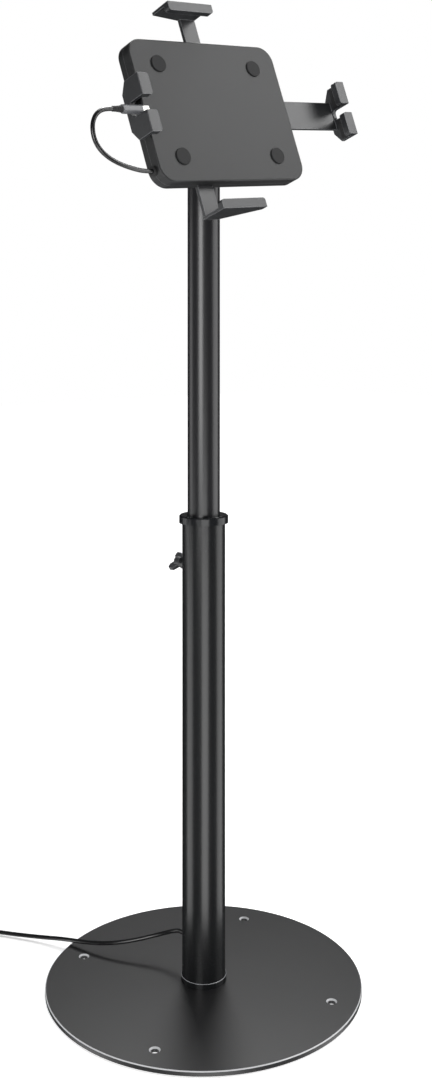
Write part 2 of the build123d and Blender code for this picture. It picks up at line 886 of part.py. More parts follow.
def rear_shell():
    body = slab(housing_outline(), seam, housing_back)
    rear_rim = body.faces().sort_by(Axis.Y)[-1].edges()
    body = fillet(rear_rim, housing_edge_round)
    body -= slab(housing_outline(shell_wall), seam - overrun, rear_inner)
    for x, z in shell_screw_places():
        body += rod_y(shell_pillar_diameter / 2, x, z, divider_back, rear_inner)
    for rib in rear_guides():
        body += rib
    body += pinion_post()
    wall_inside = housing_half_height - shell_wall - seat_clearance
    body -= claw_slot(1, wall_inside, housing_half_height + overrun)
    body -= claw_slot(-1, -housing_half_height - overrun, -wall_inside)
    head = shell_screw_head_diameter / 2 + shell_screw_play / 2
    head_front = housing_back - shell_screw_head_height - seat_clearance
    for x, z in shell_screw_places():
        body -= rod_y(shell_screw_diameter / 2 + shell_screw_play, x, z, 0, housing_back + overrun)
        body -= rod_y(head, x, z, head_front, housing_back + overrun)
    for x, z in flange_screw_places():
        body -= Pos(x, flange_back, z) * flange_screw(seat_clearance)
    for x, z in claw_brake_places():
        body -= claw_brake(x, z, seat_clearance)
    body -= pivot_rod(shaft_bore / 2, 0, housing_back + overrun)
    return body - cable_port_hole(seat_clearance)


def divider_plate():
    plate = slab(housing_outline(shell_wall + sliding_gap), seam, divider_back)
    for x, z in shell_screw_places():
        plate -= rod_y(shell_screw_diameter / 2 + shell_screw_play, x, z, 0, housing_back)
    plate -= rod_y(post_tip_diameter / 2 + seat_clearance, claw_centre, 0, 0, housing_back)
    return plate - pivot_rod(shaft_bore / 2, 0, housing_back)


def shell_screws():
    front = housing_front + shell_wall / 2 + seat_clearance
    head_front = housing_back - shell_screw_head_height
    screws = []
    for x, z in shell_screw_places():
        shank = rod_y(shell_screw_diameter / 2, x, z, front, head_front)
        head = rod_y(shell_screw_head_diameter / 2, x, z, head_front, housing_back - seat_clearance)
        screws.append(shank + head)
    return screws


def front_pads():
    pads = []
    for x in (housing_left + face_pad_inset_x, housing_right - face_pad_inset_x):
        for z in (housing_half_height - face_pad_inset_z, face_pad_inset_z - housing_half_height):
            pad = rod_y(face_pad_diameter / 2, x, z, housing_front - face_pad_height, housing_front)
            pads.append(fillet(pad.edges().group_by(Axis.Y)[0], face_pad_round))
    return pads


def claw_brake_places():
    reach = (rack_root + claw_tongue_outer) / 2
    return [
        (claw_centre + reach, claw_brake_place),
        (claw_centre - reach, -claw_brake_place),
    ]


def claw_brake(x, z, clearance):
    """A friction pad behind a claw's tongue, or its pocket with a clearance."""
    half_width = claw_brake_width / 2 + clearance
    half_height = claw_brake_height / 2 + clearance
    front = claw_tongue_back + brake_gap
    back = front + claw_brake_thickness + clearance
    return block(x - half_width, x + half_width, front, back, z - half_height, z + half_height)


def brake_pads():
    half = side_brake_size / 2
    front = side_tongue_front - brake_gap - side_brake_thickness
    back = side_tongue_front - brake_gap
    side = block(side_brake_place - half, side_brake_place + half, front, back, -half, half)
    claws = [claw_brake(x, z, 0) for x, z in claw_brake_places()]
    return [side] + claws


def cable_port():
    flange = rod_x(
        port_flange_diameter / 2,
        housing_left - overrun,
        housing_left + port_flange_diameter,
        port_depth,
        port_height,
    )
    flange &= slab(housing_outline(-port_flange_thickness), housing_front, housing_back)
    flange -= slab(housing_outline(), 0, housing_back + overrun)
    spigot_end = housing_left + shell_wall + sliding_gap
    spigot = rod_x(port_spigot_diameter / 2, housing_left, spigot_end, port_depth, port_height)
    spigot += rod_x(
        port_spigot_diameter / 2, housing_left - port_flange_thickness / 2, spigot_end, port_depth, port_height
    )
    bore = cable_diameter / 2 - seat_clearance
    return flange + spigot - rod_x(
        bore, housing_left - overrun, housing_left + overrun, port_depth, port_height
    )


# Claws


def side_claw_profile(notch_half_height):
    """Side view of a side claw's wall, with its notch from the front."""
    rear = side_claw_rear
    slope = side_claw_rear - side_claw_rear_slope
    profile = Polygon(
        (lip_front, -side_claw_half_height),
        (slope, -side_claw_half_height),
        (rear, -side_claw_rear_half_height),
        (rear, side_claw_rear_half_height),
        (slope, side_claw_half_height),
        (lip_front, side_claw_half_height),
        align=None,
    )
    reach = 2 * notch_depth
    notch = RectangleRounded(reach, 2 * notch_half_height, notch_round)
    return profile - Pos(lip_front, 0) * notch


def side_lip(notch_half_height):
    """Front view of one prong's lip on the right side, above the notch."""
    height = side_claw_half_height - notch_half_height
    middle = (side_claw_half_height + notch_half_height) / 2
    lip = Rectangle(side_lip_width, height)
    lip = fillet(lip.vertices().group_by(Axis.X)[0], lip_round)
    return Pos(side_wall_outer - side_lip_width / 2, middle) * lip


def side_claw(notch_half_height):
    """The right side claw without its tongue."""
    wall = side_plate(side_claw_profile(notch_half_height), side_wall_inner, side_wall_outer)
    lip = slab(side_lip(notch_half_height), lip_front, lip_back)
    claw = wall + lip + mirror(lip, about=Plane.XY)
    front_edges = claw.edges().filter_by(Axis.Z).filter_by(on_front_corner)
    return fillet(front_edges, edge_round)


def on_front_corner(edge):
    """True for the outer front corner edges of a side claw."""
    place = edge.center()
    near_side = abs(place.X - side_wall_outer) < seat_clearance
    return near_side and abs(place.Y - lip_front) < seat_clearance


def side_claw_pads(notch_half_height):
    """Rubber pads on the inner faces of the right side claw's two prongs."""
    low = notch_half_height + pad_inset
    high = side_claw_half_height - pad_inset
    back = side_claw_rear - side_claw_rear_slope - pad_inset
    wall_pad = block(grip_half_width, side_wall_inner, lip_back + pad_thickness, back, low, high)
    lip_left = side_wall_outer - side_lip_width + pad_inset
    lip_pad = block(lip_left, side_wall_inner, lip_back, lip_back + pad_thickness, low, high)
    pad = wall_pad + lip_pad
    return [pad, mirror(pad, about=Plane.XY)]


def rounded_tongue(left, right):
    """Flat tongue of a side claw, its far end with round corners."""
    outline = Rectangle(right - left, 2 * side_tongue_half_height)
    outline = Pos((left + right) / 2, 0) * fillet(outline.vertices().group_by(Axis.X)[0], side_tongue_round)
    return slab(outline, side_tongue_front, side_tongue_back)


def right_arm():
    tongue = rounded_tongue(side_tongue_end, side_wall_inner + side_claw_wall / 2)
    return side_claw(right_notch_half_height) + tongue


def right_pads():
    return side_claw_pads(right_notch_half_height)


def left_fork():
    claw = mirror(side_claw(left_notch_half_height), about=Plane.YZ)
    left = -side_wall_inner - side_claw_wall / 2
    right = housing_left + fixed_tongue_length
    tongue = mirror(rounded_tongue(-right, -left), about=Plane.YZ)
    body = claw + tongue
    for x, z in fork_screw_places():
        body -= Pos(x, side_tongue_back, z) * fork_screw(seat_clearance)
    return body


def left_fork_pads():
    return [mirror(pad, about=Plane.YZ) for pad in side_claw_pads(left_notch_half_height)]


def fork_screw(clearance):
    """A fork screw along Y with its flat face at zero, or its hole with a clearance."""
    shank = fork_screw_diameter / 2 + clearance
    head = fork_screw_head_diameter / 2 + clearance
    length = side_tongue_back - housing_front - shell_wall / 2 - seat_clearance
    return Rot(X=90) * countersunk(shank, head, fork_screw_head_height, length)


def fork_screws():
    return [Pos(x, side_tongue_back, z) * fork_screw(0) for x, z in fork_screw_places()]


def claw_lip(wall_side):
    """Lip of the top claw, seen from the front, or of the bottom one with wall_side -1."""
    width = 2 * claw_half_width
    lip = Rectangle(width, claw_lip_height)
    lip = fillet(lip.vertices().group_by(Axis.Y)[0], lip_round)
    middle = claw_wall_outer - claw_lip_height / 2
    body = slab(Pos(claw_centre, middle) * lip, lip_front, lip_back)
    if wall_side < 0:
        body = mirror(body, about=Plane.XY)
    return body


def rack_tooth(height):
    """One rack tooth on the top claw's tongue, its middle at a height."""
    half = (tooth_pitch - gear_backlash) / 4
    slope = math.tan(math.radians(gear_pressure_angle))
    root_half = half + gear_dedendum * slope
    tip_half = half - gear_addendum * slope
    root = claw_centre + rack_root + seat_clearance
    tip = claw_centre + pitch_radius - gear_addendum
    outline = Polygon(
        (root, height - root_half),
        (root, height + root_half),
        (tip, height + tip_half),
        (tip, height - tip_half),
        align=None,
    )
    return slab(outline, claw_tongue_front, claw_tongue_back)


def claw_tongue():
    """The top claw's tongue with its rack; the bottom claw's is the same one turned about the pinion."""
    left = claw_centre + rack_root
    right = claw_centre + claw_tongue_outer
    tongue = block(
        left, right, claw_tongue_front, claw_tongue_back, -claw_tongue_tail, claw_wall_inner + claw_wall / 2
    )
    for step in range(-rack_teeth_below, rack_teeth_above):
        tongue += rack_tooth((step + 0.5) * tooth_pitch)
    return tongue


def turned_claw_tongue():
    return Pos(claw_centre, 0, 0) * Rot(Y=180) * Pos(-claw_centre, 0, 0) * claw_tongue()


def top_arm():
    left = claw_centre - claw_half_width
    right = claw_centre + claw_half_width
    outline = Polygon(
        (left, lip_front),
        (right, lip_front),
        (right, claw_tongue_back),
        (claw_centre + rack_root, claw_tongue_back),
        (left, claw_diagonal_start),
        align=None,
    )
    wall = level_plate(outline, claw_wall_inner, claw_wall_outer)
    return wall + claw_lip(1) + claw_tongue()


def bottom_arm():
    left = claw_centre - claw_half_width
    right = claw_centre + claw_half_width
    outline = Polygon(
        (left, lip_front),
        (right, lip_front),
        (right, claw_diagonal_front),
        (claw_centre - rack_root, claw_tongue_back),
        (left, claw_tongue_back),
        align=None,
    )
    wall = level_plate(outline, -claw_wall_outer, -claw_wall_inner)
    return wall + claw_lip(-1) + turned_claw_tongue()


def claw_pad(side):
    """Rubber pad inside the top claw, or inside the bottom one with side -1."""
    left = claw_centre - claw_half_width + pad_inset
    right = claw_centre + claw_half_width - pad_inset
    back = housing_front - pad_inset
    wall_pad = block(left, right, lip_back + pad_thickness, back, grip_half_height, claw_wall_inner)
    lip_low = claw_wall_outer - claw_lip_height + pad_inset
    lip_pad = block(left, right, lip_back, lip_back + pad_thickness, lip_low, claw_wall_inner)
    pad = wall_pad + lip_pad
    if side < 0:
        pad = mirror(pad, about=Plane.XY)
    return pad


def top_pad():
    return claw_pad(1)


def bottom_pad():
    return claw_pad(-1)


def involute_point(base_radius, radius):
    """Polar angle of an involute's point at a radius, from where it leaves its base circle."""
    roll = math.sqrt(max((radius / base_radius) ** 2 - 1, 0))
    return roll - math.atan(roll)


def tooth_outline():
    """Outline points of one pinion tooth, symmetric about the X axis."""
    base_radius = pitch_radius * math.cos(math.radians(gear_pressure_angle))
    tip_radius = pitch_radius + gear_addendum
    root_radius = pitch_radius - gear_dedendum
    half_at_pitch = (tooth_pitch - gear_backlash) / 4 / pitch_radius
    at_base = half_at_pitch + involute_point(base_radius, pitch_radius)
    flank = [(root_radius - seat_clearance, at_base)]
    for step in range(gear_flank_steps + 1):
        radius = base_radius + (tip_radius - base_radius) * step / gear_flank_steps
        flank.append((radius, at_base - involute_point(base_radius, radius)))
    lower = [(r * math.cos(a), -r * math.sin(a)) for r, a in flank]
    upper = [(r * math.cos(a), r * math.sin(a)) for r, a in reversed(flank)]
    return lower + upper


def pinion():
    outline = Circle(pitch_radius - gear_dedendum)
    tooth = Polygon(*tooth_outline(), align=None)
    for step in range(gear_teeth):
        outline += Rot(Z=step * 360 / gear_teeth) * tooth
    outline -= Circle(post_diameter / 2 + running_clearance)
    body = slab(outline, claw_tongue_front + gear_side_gap, claw_tongue_back - gear_side_gap)
    return Pos(claw_centre, 0, 0) * body


# Cable


def corner_radii(points):
    """Radius of each bend: as large as the two runs beside it leave room for."""
    spots = [Vector(*point) for point in points]
    radii = []
    for before, corner, after in zip(spots, spots[1:], spots[2:]):
        turn = math.radians((corner - before).get_angle(after - corner))
        shorter = min((corner - before).length, (after - corner).length)
        radii.append(0.45 * shorter / math.tan(turn / 2))
    return radii


def cord(name, points):
    """Tube of the cable's diameter along straight runs joined by tangent arcs."""
    radii = corner_radii(points)
    path = FilletPolyline(*points, radius=radii)
    section = Plane(origin=path @ 0, z_dir=path % 0) * Circle(cable_diameter / 2)
    tube = sweep(section, path=path)
    area = math.pi * cable_diameter**2 / 4
    print(name, "length", round(path.length, 1), "tightest radius", round(min(radii), 1))
    print(name, "volume over section times length", round(tube.volume / (area * path.length), 4))
    return tube


def cable_riser():
    """The cable from its way out up the middle of the column."""
    low = exit_height
    bend_top = exit_height + riser_bend
    out = Line((0, exit_face, low), (0, riser_bend, low))
    middle = riser_bend * (1 - math.sqrt(0.5))
    bend = ThreePointArc((0, riser_bend, low), (0, middle, low + middle), (0, 0, bend_top))
    up = Line((0, 0, bend_top), (0, 0, riser_top))
    path = Wire([out, bend, up])
    section = Plane(origin=(0, exit_face, low), z_dir=(0, -1, 0)) * Circle(cable_diameter / 2)
    return sweep(section, path=path)


def cable_drop():
    return rod(cable_diameter / 2, drop_bottom, drop_top)


def cable_grommet():
    skin = lower_tube_diameter / 2 + seat_clearance
    flange = rod_y(grommet_flange_diameter / 2, 0, exit_height, 0, exit_face)
    flange -= rod(skin, 0, lower_tube_top)
    spigot = rod_y(grommet_hole / 2 - seat_clearance, 0, exit_height, lower_tube_bore_radius, exit_face)
    bore = rod_y(cable_diameter / 2 + seat_clearance, 0, exit_height, 0, exit_face + overrun)
    return flange + spigot - bore


def cable_tail():
    return cord("tail", tail_points)


def coil_point(turn_angle):
    """Radius, height, and their rates, at an angle run through from the coil's start."""
    total = coil_total_angle()
    middle = total / 2
    radial_rate = -coil_pitch / (2 * math.pi)
    radius = coil_radius + radial_rate * min(turn_angle, total - turn_angle)
    climb = coil_climb_quarters * total / coil_quarter_turns
    along = (turn_angle - middle + climb / 2) / climb
    along = min(max(along, 0), 1)
    height = coil_first_height + coil_layer_height * (1 - math.cos(math.pi * along)) / 2
    rate_up = coil_layer_height * math.pi * math.sin(math.pi * along) / (2 * climb)
    if turn_angle > middle:
        radial_rate = -radial_rate
    if abs(turn_angle - middle) < climb / coil_quarter_turns:
        radial_rate = 0.0
    return radius, height, radial_rate, rate_up


def coil_total_angle():
    whole_turns = round(coil_quarter_turns / 4 - coil_turn_rest / 360)
    return math.radians(coil_turn_rest + 360 * whole_turns)


def coil_start():
    """Where the coil begins, and the direction of the cable there."""
    before = Vector(*tail_points[-2])
    start = Vector(*tail_points[-1])
    heading = start - before
    return start, Vector(heading.X, heading.Y, 0).normalized()


def coil_centre():
    start, heading = coil_start()
    side = Vector(-heading.Y, heading.X, 0)
    return start + heading * cable_diameter + side * coil_radius


def coil_knots():
    """Points and directions of the coil, one for each quarter turn."""
    start, heading = coil_start()
    centre = coil_centre()
    first = math.atan2(heading.Y, heading.X) - math.pi / 2
    knots = []
    for step in range(coil_quarter_turns + 1):
        run = coil_total_angle() * step / coil_quarter_turns
        radius, height, radial_rate, rate_up = coil_point(run)
        angle = first + run
        outward = Vector(math.cos(angle), math.sin(angle), 0)
        along = Vector(-math.sin(angle), math.cos(angle), 0)
        place = Vector(centre.X, centre.Y, 0) + outward * radius + Vector(0, 0, height)
        direction = along * radius + outward * radial_rate + Vector(0, 0, rate_up)
        if step in (0, coil_quarter_turns):
            direction = along
        knots.append((place, direction.normalized()))
    return knots


def two_arcs(start, start_way, end, end_way):
    """Two arcs that join two points and are tangent to their directions and to each other."""
    chord = end - start
    both = start_way + end_way
    spread = 2 * (1 - start_way.dot(end_way))
    lean = chord.dot(both)
    reach = (math.sqrt(lean * lean + spread * chord.dot(chord)) - lean) / spread
    first_tip = start + start_way * reach
    second_tip = end - end_way * reach
    joint = (first_tip + second_tip) * 0.5
    way = (second_tip - first_tip).normalized()
    return [TangentArc(start, joint, tangent=start_way), TangentArc(joint, end, tangent=way)]


def coil_path():
    start, heading = coil_start()
    knots = coil_knots()
    edges = [Line(start, knots[0][0])]
    for (place, way), (next_place, next_way) in zip(knots, knots[1:]):
        edges.extend(two_arcs(place, way, next_place, next_way))
    last, way = knots[-1]
    edges.append(Line(last, last + way * cable_diameter))
    return Wire(edges)


def least_coil_gap(path):
    """Least clear distance between one turn of the coil and another."""
    count = 40 * coil_quarter_turns
    spots = [path.position_at(i / count) for i in range(count + 1)]
    spacing = path.length / count
    skip = math.ceil(math.pi * cable_diameter / spacing)
    least = min(
        (spots[i] - spots[j]).length for i in range(count + 1) for j in range(i + skip, count + 1)
    )
    return least - cable_diameter


def cable_coil():
    path = coil_path()
    section = Plane(origin=path @ 0, z_dir=path % 0) * Circle(cable_diameter / 2)
    tube = sweep(section, path=path)
    area = math.pi * cable_diameter**2 / 4
    print("coil length", round(path.length, 1), "least gap", round(least_coil_gap(path), 2))
    print("coil volume over section times length", round(tube.volume / (area * path.length), 4))
    return tube


def coil_tie():
    """Strap round the coil's bundle."""
    turns = coil_total_angle() / (2 * math.pi)
    inner_radius = coil_radius - coil_pitch * turns / 2 - cable_diameter / 2 - tie_gap
    outer_radius = coil_radius + cable_diameter / 2 + tie_gap
    low = coil_first_height - cable_diameter / 2 - tie_gap / 2
    high = coil_first_height + coil_layer_height + cable_diameter / 2 + tie_gap
    half = tie_width / 2
    space = block(inner_radius, outer_radius, -half - overrun, half + overrun, low, high)
    strap = block(
        inner_radius - tie_thickness,
        outer_radius + tie_thickness,
        -half,
        half,
        low - tie_thickness,
        high + tie_thickness,
    )
    centre = coil_centre()
    return Pos(centre.X, centre.Y, 0) * Rot(Z=tie_direction) * (strap - space)


def coil_exit():
    """Where the coil ends, and the direction of the cable there."""
    last, way = coil_knots()[-1]
    return last + way * cable_diameter, way


def end_points():
    """Points of the short end from the coil to the far plug."""
    place, way = coil_exit()
    points = [tuple(place)]
    for run, height in zip(end_runs, end_heights):
        place = place + way * run
        points.append((place.X, place.Y, height))
    return points


def cable_end():
    return cord("end", end_points())


def far_frame():
    """The far plug's frame: X along the cable's way, origin where the cable ends."""
    place = Vector(*end_points()[-1])
    way = coil_exit()[1]
    turn = math.degrees(math.atan2(way.Y, way.X))
    return Pos(place.X, place.Y, far_plug_floor_gap + far_plug_thickness / 2) * Rot(Z=turn)


def cone_x(start_radius, end_radius, start, length):
    """Round tapered piece along X."""
    stand = (Align.CENTER, Align.CENTER, Align.MIN)
    return Pos(start, 0, 0) * Rot(Y=90) * Cone(start_radius, end_radius, length, align=stand)


def wall_end_relief():
    return far_frame() * cone_x(far_relief_end_diameter / 2, far_relief_diameter / 2, 0, far_relief_length)


def wall_end_body():
    section = RectangleRounded(far_plug_width, far_plug_thickness, far_plug_round)
    body = extrude(Plane.YZ * section, amount=far_plug_length)
    return far_frame() * Pos(far_relief_length, 0, 0) * body


def wall_end_shell():
    outer = Rectangle(far_shell_width, far_shell_thickness)
    inner = Rectangle(far_shell_width - 2 * far_shell_wall, far_shell_thickness - 2 * far_shell_wall)
    shell = extrude(Plane.YZ * outer, amount=far_shell_length)
    mouth = extrude(Plane.YZ * inner, amount=far_shell_length)
    start = far_relief_length + far_plug_length
    return far_frame() * (Pos(start, 0, 0) * shell - Pos(start + 2 * far_shell_wall, 0, 0) * mouth)


def charge_cable():
    return cord("loop", loop_points)


def plug_end():
    return plug_start - plug_length


def plug_relief():
    neck_end = plug_end() - plug_neck_length
    body = cone_x(plug_neck_end_diameter / 2, plug_neck_diameter / 2, neck_end, plug_neck_length)
    return Pos(0, plug_depth, plug_height) * body


def plug_body():
    section = RectangleRounded(plug_thickness, plug_height_size, plug_round)
    body = extrude(Plane.YZ * section, amount=plug_length)
    return Pos(plug_end(), plug_depth, plug_height) * body


def plug_tip():
    radius = plug_tip_thickness / 2 - seat_clearance
    outer = RectangleRounded(plug_tip_thickness, plug_tip_height, radius)
    wall = 2 * plug_tip_wall
    inner = RectangleRounded(plug_tip_thickness - wall, plug_tip_height - wall, radius - plug_tip_wall)
    shell = extrude(Plane.YZ * outer, amount=plug_tip_length)
    mouth = extrude(Plane.YZ * inner, amount=plug_tip_length)
    return Pos(plug_start, plug_depth, plug_height) * (shell - Pos(wall, 0, 0) * mouth)


def save(name, shape, frame=None):
    """Write one piece, or a group of like pieces, to its file."""
    solids = shape if isinstance(shape, list) else [shape]
    if frame is not None:
        solids = [frame * solid for solid in solids]
    solids = [solid for shape in solids for solid in shape.solids()]
    whole = solids[0] if len(solids) == 1 else Compound(children=solids)
    export_step(whole, f"parts/{name}.step")


def main():
    os.makedirs("parts", exist_ok=True)
    standing = [
        base_plate,
        base_pad,
        foot_screws,
        foot_plug,
        foot_ring,
        lower_tube,
        collar,
        guide_bush,
        clamp_boss,
        pressure_pad,
        clamp_stud,
        clamp_knob,
        upper_tube,
        glide_clip,
        lower_glide,
        neck,
        tilt_bracket,
        tilt_bolt,
        tilt_nut,
        friction_washers,
        cable_riser,
        cable_drop,
        cable_grommet,
        cable_tail,
        cable_coil,
        coil_tie,
        cable_end,
        wall_end_relief,
        wall_end_body,
        wall_end_shell,
    ]
    for maker in standing:
        save(maker.__name__, maker())
    save("neck_screws", neck_screw_pair(0).solids())
    held = [
        pivot_flange,
        flange_screws,
        pivot_washer,
        pivot_nut,
        front_shell,
        rear_shell,
        divider_plate,
        shell_screws,
        front_pads,
        brake_pads,
        cable_port,
        left_fork,
        left_fork_pads,
        fork_screws,
        right_arm,
        right_pads,
        top_arm,
        top_pad,
        bottom_arm,
        bottom_pad,
        pinion,
        charge_cable,
        plug_relief,
        plug_body,
        plug_tip,
    ]
    for maker in held:
        save(maker.__name__, maker(), holder_frame())


main()
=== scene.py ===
"""Looks of the adjustable floor stand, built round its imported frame.

A round powder coated base carries a telescoping steel column, a winged height clamp, a tilting
holder with forked claws, and a charging lead that leaves the column's foot and ends in a plug
beside the left claw. Lengths of the pieces are in millimetres, and meshes are made in metres. The
studio's lengths are in metres.
"""

import json
import logging
import math
from dataclasses import dataclass, field, replace
from enum import Enum

import bmesh
import bpy
from mathutils import Matrix, Vector


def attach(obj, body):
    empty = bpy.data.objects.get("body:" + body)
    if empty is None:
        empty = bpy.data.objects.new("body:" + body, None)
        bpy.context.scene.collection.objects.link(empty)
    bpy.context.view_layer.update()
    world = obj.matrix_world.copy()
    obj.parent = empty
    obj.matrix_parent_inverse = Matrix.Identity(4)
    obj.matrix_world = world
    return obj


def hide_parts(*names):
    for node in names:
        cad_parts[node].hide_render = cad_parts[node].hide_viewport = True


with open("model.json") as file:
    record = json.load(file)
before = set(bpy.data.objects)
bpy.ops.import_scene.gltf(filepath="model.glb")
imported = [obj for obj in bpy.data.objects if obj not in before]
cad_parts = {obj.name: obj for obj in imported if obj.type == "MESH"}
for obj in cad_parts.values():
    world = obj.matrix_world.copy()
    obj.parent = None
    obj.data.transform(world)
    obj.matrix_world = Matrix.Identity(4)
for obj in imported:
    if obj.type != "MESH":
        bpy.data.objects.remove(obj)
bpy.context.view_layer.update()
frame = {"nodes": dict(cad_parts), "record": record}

log = logging.getLogger("floor_stand")

MM = 0.001

# The holder at rest: its tilt hinge over the floor, its turns in degrees, and the middle of the
# space that the claws hold, as seen from the hinge.
HINGE_HEIGHT = 917.5
HOLDER_TILT = -17.39
HOLDER_SPIN = -4.77
HELD_FROM_HINGE = (6.48, -70.7, 0.0)

# Colour drifts in patches some 35 mm wide, weighted against the fine pattern.
DRIFT_SCALE = 28.0
DRIFT_DETAIL = 2.0
DRIFT_SHARE = 0.35
TINT_RANGE = (0.35, 1.0)

# Part of the fine pattern's values over which the gloss goes from one end of its spread to the
# other.
GLOSS_RANGE = (0.3, 0.7)

# The painted edge highlight comes in where the rounded normal turns this far from the flat one, as
# cosines.
EDGE_HIGHLIGHT_TURN = (0.995, 0.90)

# Rolling and turning draw the pattern out, so its scale along that way is this share.
ROLLED_SHARE = 0.02
TURNED_SHARE = 0.05

# Chamfers that get the painted highlight face this far up, give or take the second number.
CHAMFER_RISE = 0.707
CHAMFER_SPREAD = 0.08

# Signs of the four corners of a rounded outline and of the floor, in the order in which they are
# walked.
QUARTERS = ((1, 1), (-1, 1), (-1, -1), (1, -1))
FLOOR_CORNERS = ((-1, -1), (1, -1), (1, 1), (-1, 1))


# Small helpers


def srgb(text: str) -> tuple[float, float, float, float]:
    """Turn an sRGB hex colour into linear light.

    Args:
        text: six hex digits after a hash.

    Returns:
        Red, green, blue and alpha, linear.
    """
    shares = [int(text[i : i + 2], 16) / 255 for i in (1, 3, 5)]
    light = [s / 12.92 if s <= 0.04045 else ((s + 0.055) / 1.055) ** 2.4 for s in shares]
    return (*light, 1.0)


def add_node(
    tree: bpy.types.NodeTree,
    kind: str,
    inputs: dict[str | int, object] | None = None,
    **settings: object,
) -> bpy.types.Node:
    """Add one node with its settings and what its sockets take.

    Args:
        tree: the tree that it goes into.
        kind: the node's type name.
        inputs: by a socket's name or number, its value or the socket that feeds it.
        **settings: attributes of the node itself.

    Returns:
        The new node.
    """
    node = tree.nodes.new(kind)
    for name, value in settings.items():
        setattr(node, name, value)
    for key, value in (inputs or {}).items():
        if isinstance(value, bpy.types.NodeSocket):
            tree.links.new(value, node.inputs[key])
        else:
            node.inputs[key].default_value = value
    return node


def empty_material(name: str) -> tuple[bpy.types.Material, bpy.types.NodeTree]:
    """Start a material from nothing.

    Args:
        name: its name.

    Returns:
        The material and its empty tree.
    """
    made = bpy.data.materials.new(name)
    made.use_nodes = True
    made.node_tree.nodes.clear()
    return made, made.node_tree


def add_object(
    name: str, data: bpy.types.ID, body: str | None = None, place: Matrix | None = None
) -> bpy.types.Object:
    """Link a new object to the scene.

    Args:
        name: the object's name.
        data: its mesh, curve, light or camera.
        body: the moving body that it rides on, if any.
        place: where it stands; the stand's own origin if left out.

    Returns:
        The new object.
    """
    piece = bpy.data.objects.new(name, data)
    bpy.context.scene.collection.objects.link(piece)
    if place is not None:
        piece.matrix_world = place
    if body:
        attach(piece, body)
    return piece


def circle(radius: float, sides: int) -> list[tuple[float, float]]:
    """Even points round a circle.

    Args:
        radius: the circle's radius.
        sides: how many points.

    Returns:
        The points' two coordinates.
    """
    turns = (2 * math.pi * i / sides for i in range(sides))
    return [(radius * math.cos(turn), radius * math.sin(turn)) for turn in turns]


def tidy_mesh(name: str, shape: bmesh.types.BMesh, smooth: bool = True) -> bpy.types.Mesh:
    """Turn a working mesh into finished mesh data.

    Args:
        name: the mesh's name.
        shape: the working mesh, which is freed.
        smooth: whether its faces are shaded smooth.

    Returns:
        The mesh data.
    """
    bmesh.ops.recalc_face_normals(shape, faces=shape.faces)
    for face in shape.faces:
        face.smooth = smooth
    mesh = bpy.data.meshes.new(name)
    shape.to_mesh(mesh)
    shape.free()
    return mesh


def skin_rings(rings: list[list[Vector]], closed: bool = False) -> bmesh.types.BMesh:
    """Skin a row of rings that have the same number of points.

    Args:
        rings: the rings' points, in order.
        closed: whether the last ring joins the first; otherwise both ends are capped.

    Returns:
        The working mesh.
    """
    shape = bmesh.new()
    rows = [[shape.verts.new(point) for point in ring] for ring in rings]
    pairs = list(zip(rows, rows[1:]))
    if closed:
        pairs.append((rows[-1], rows[0]))
    for low, high in pairs:
        for i in range(len(low)):
            j = (i + 1) % len(low)
            shape.faces.new((low[i], low[j], high[j], high[i]))
    if not closed:
        shape.faces.new(list(reversed(rows[0])))
        shape.faces.new(rows[-1])
    return shape


# Finishes


class Surface(Enum):
    """How a surface was made, which decides its small pattern."""

    POWDER_COAT = "sprayed powder, flowed out in an oven"
    SPARK_GRAIN = "moulded against a spark-eroded mould"
    POLISHED_MOULD = "moulded against a polished mould"
    SOFT_MOULD = "moulded soft, with a faint bloom"
    PLATED = "plated, with small flecks"
    TURNED = "turned on a lathe"
    ROLLED = "rolled, with drawn streaks"
    FELTED = "pressed from short fibres"
    WOVEN = "woven from flat threads"
    EXTRUDED = "drawn out round a core"


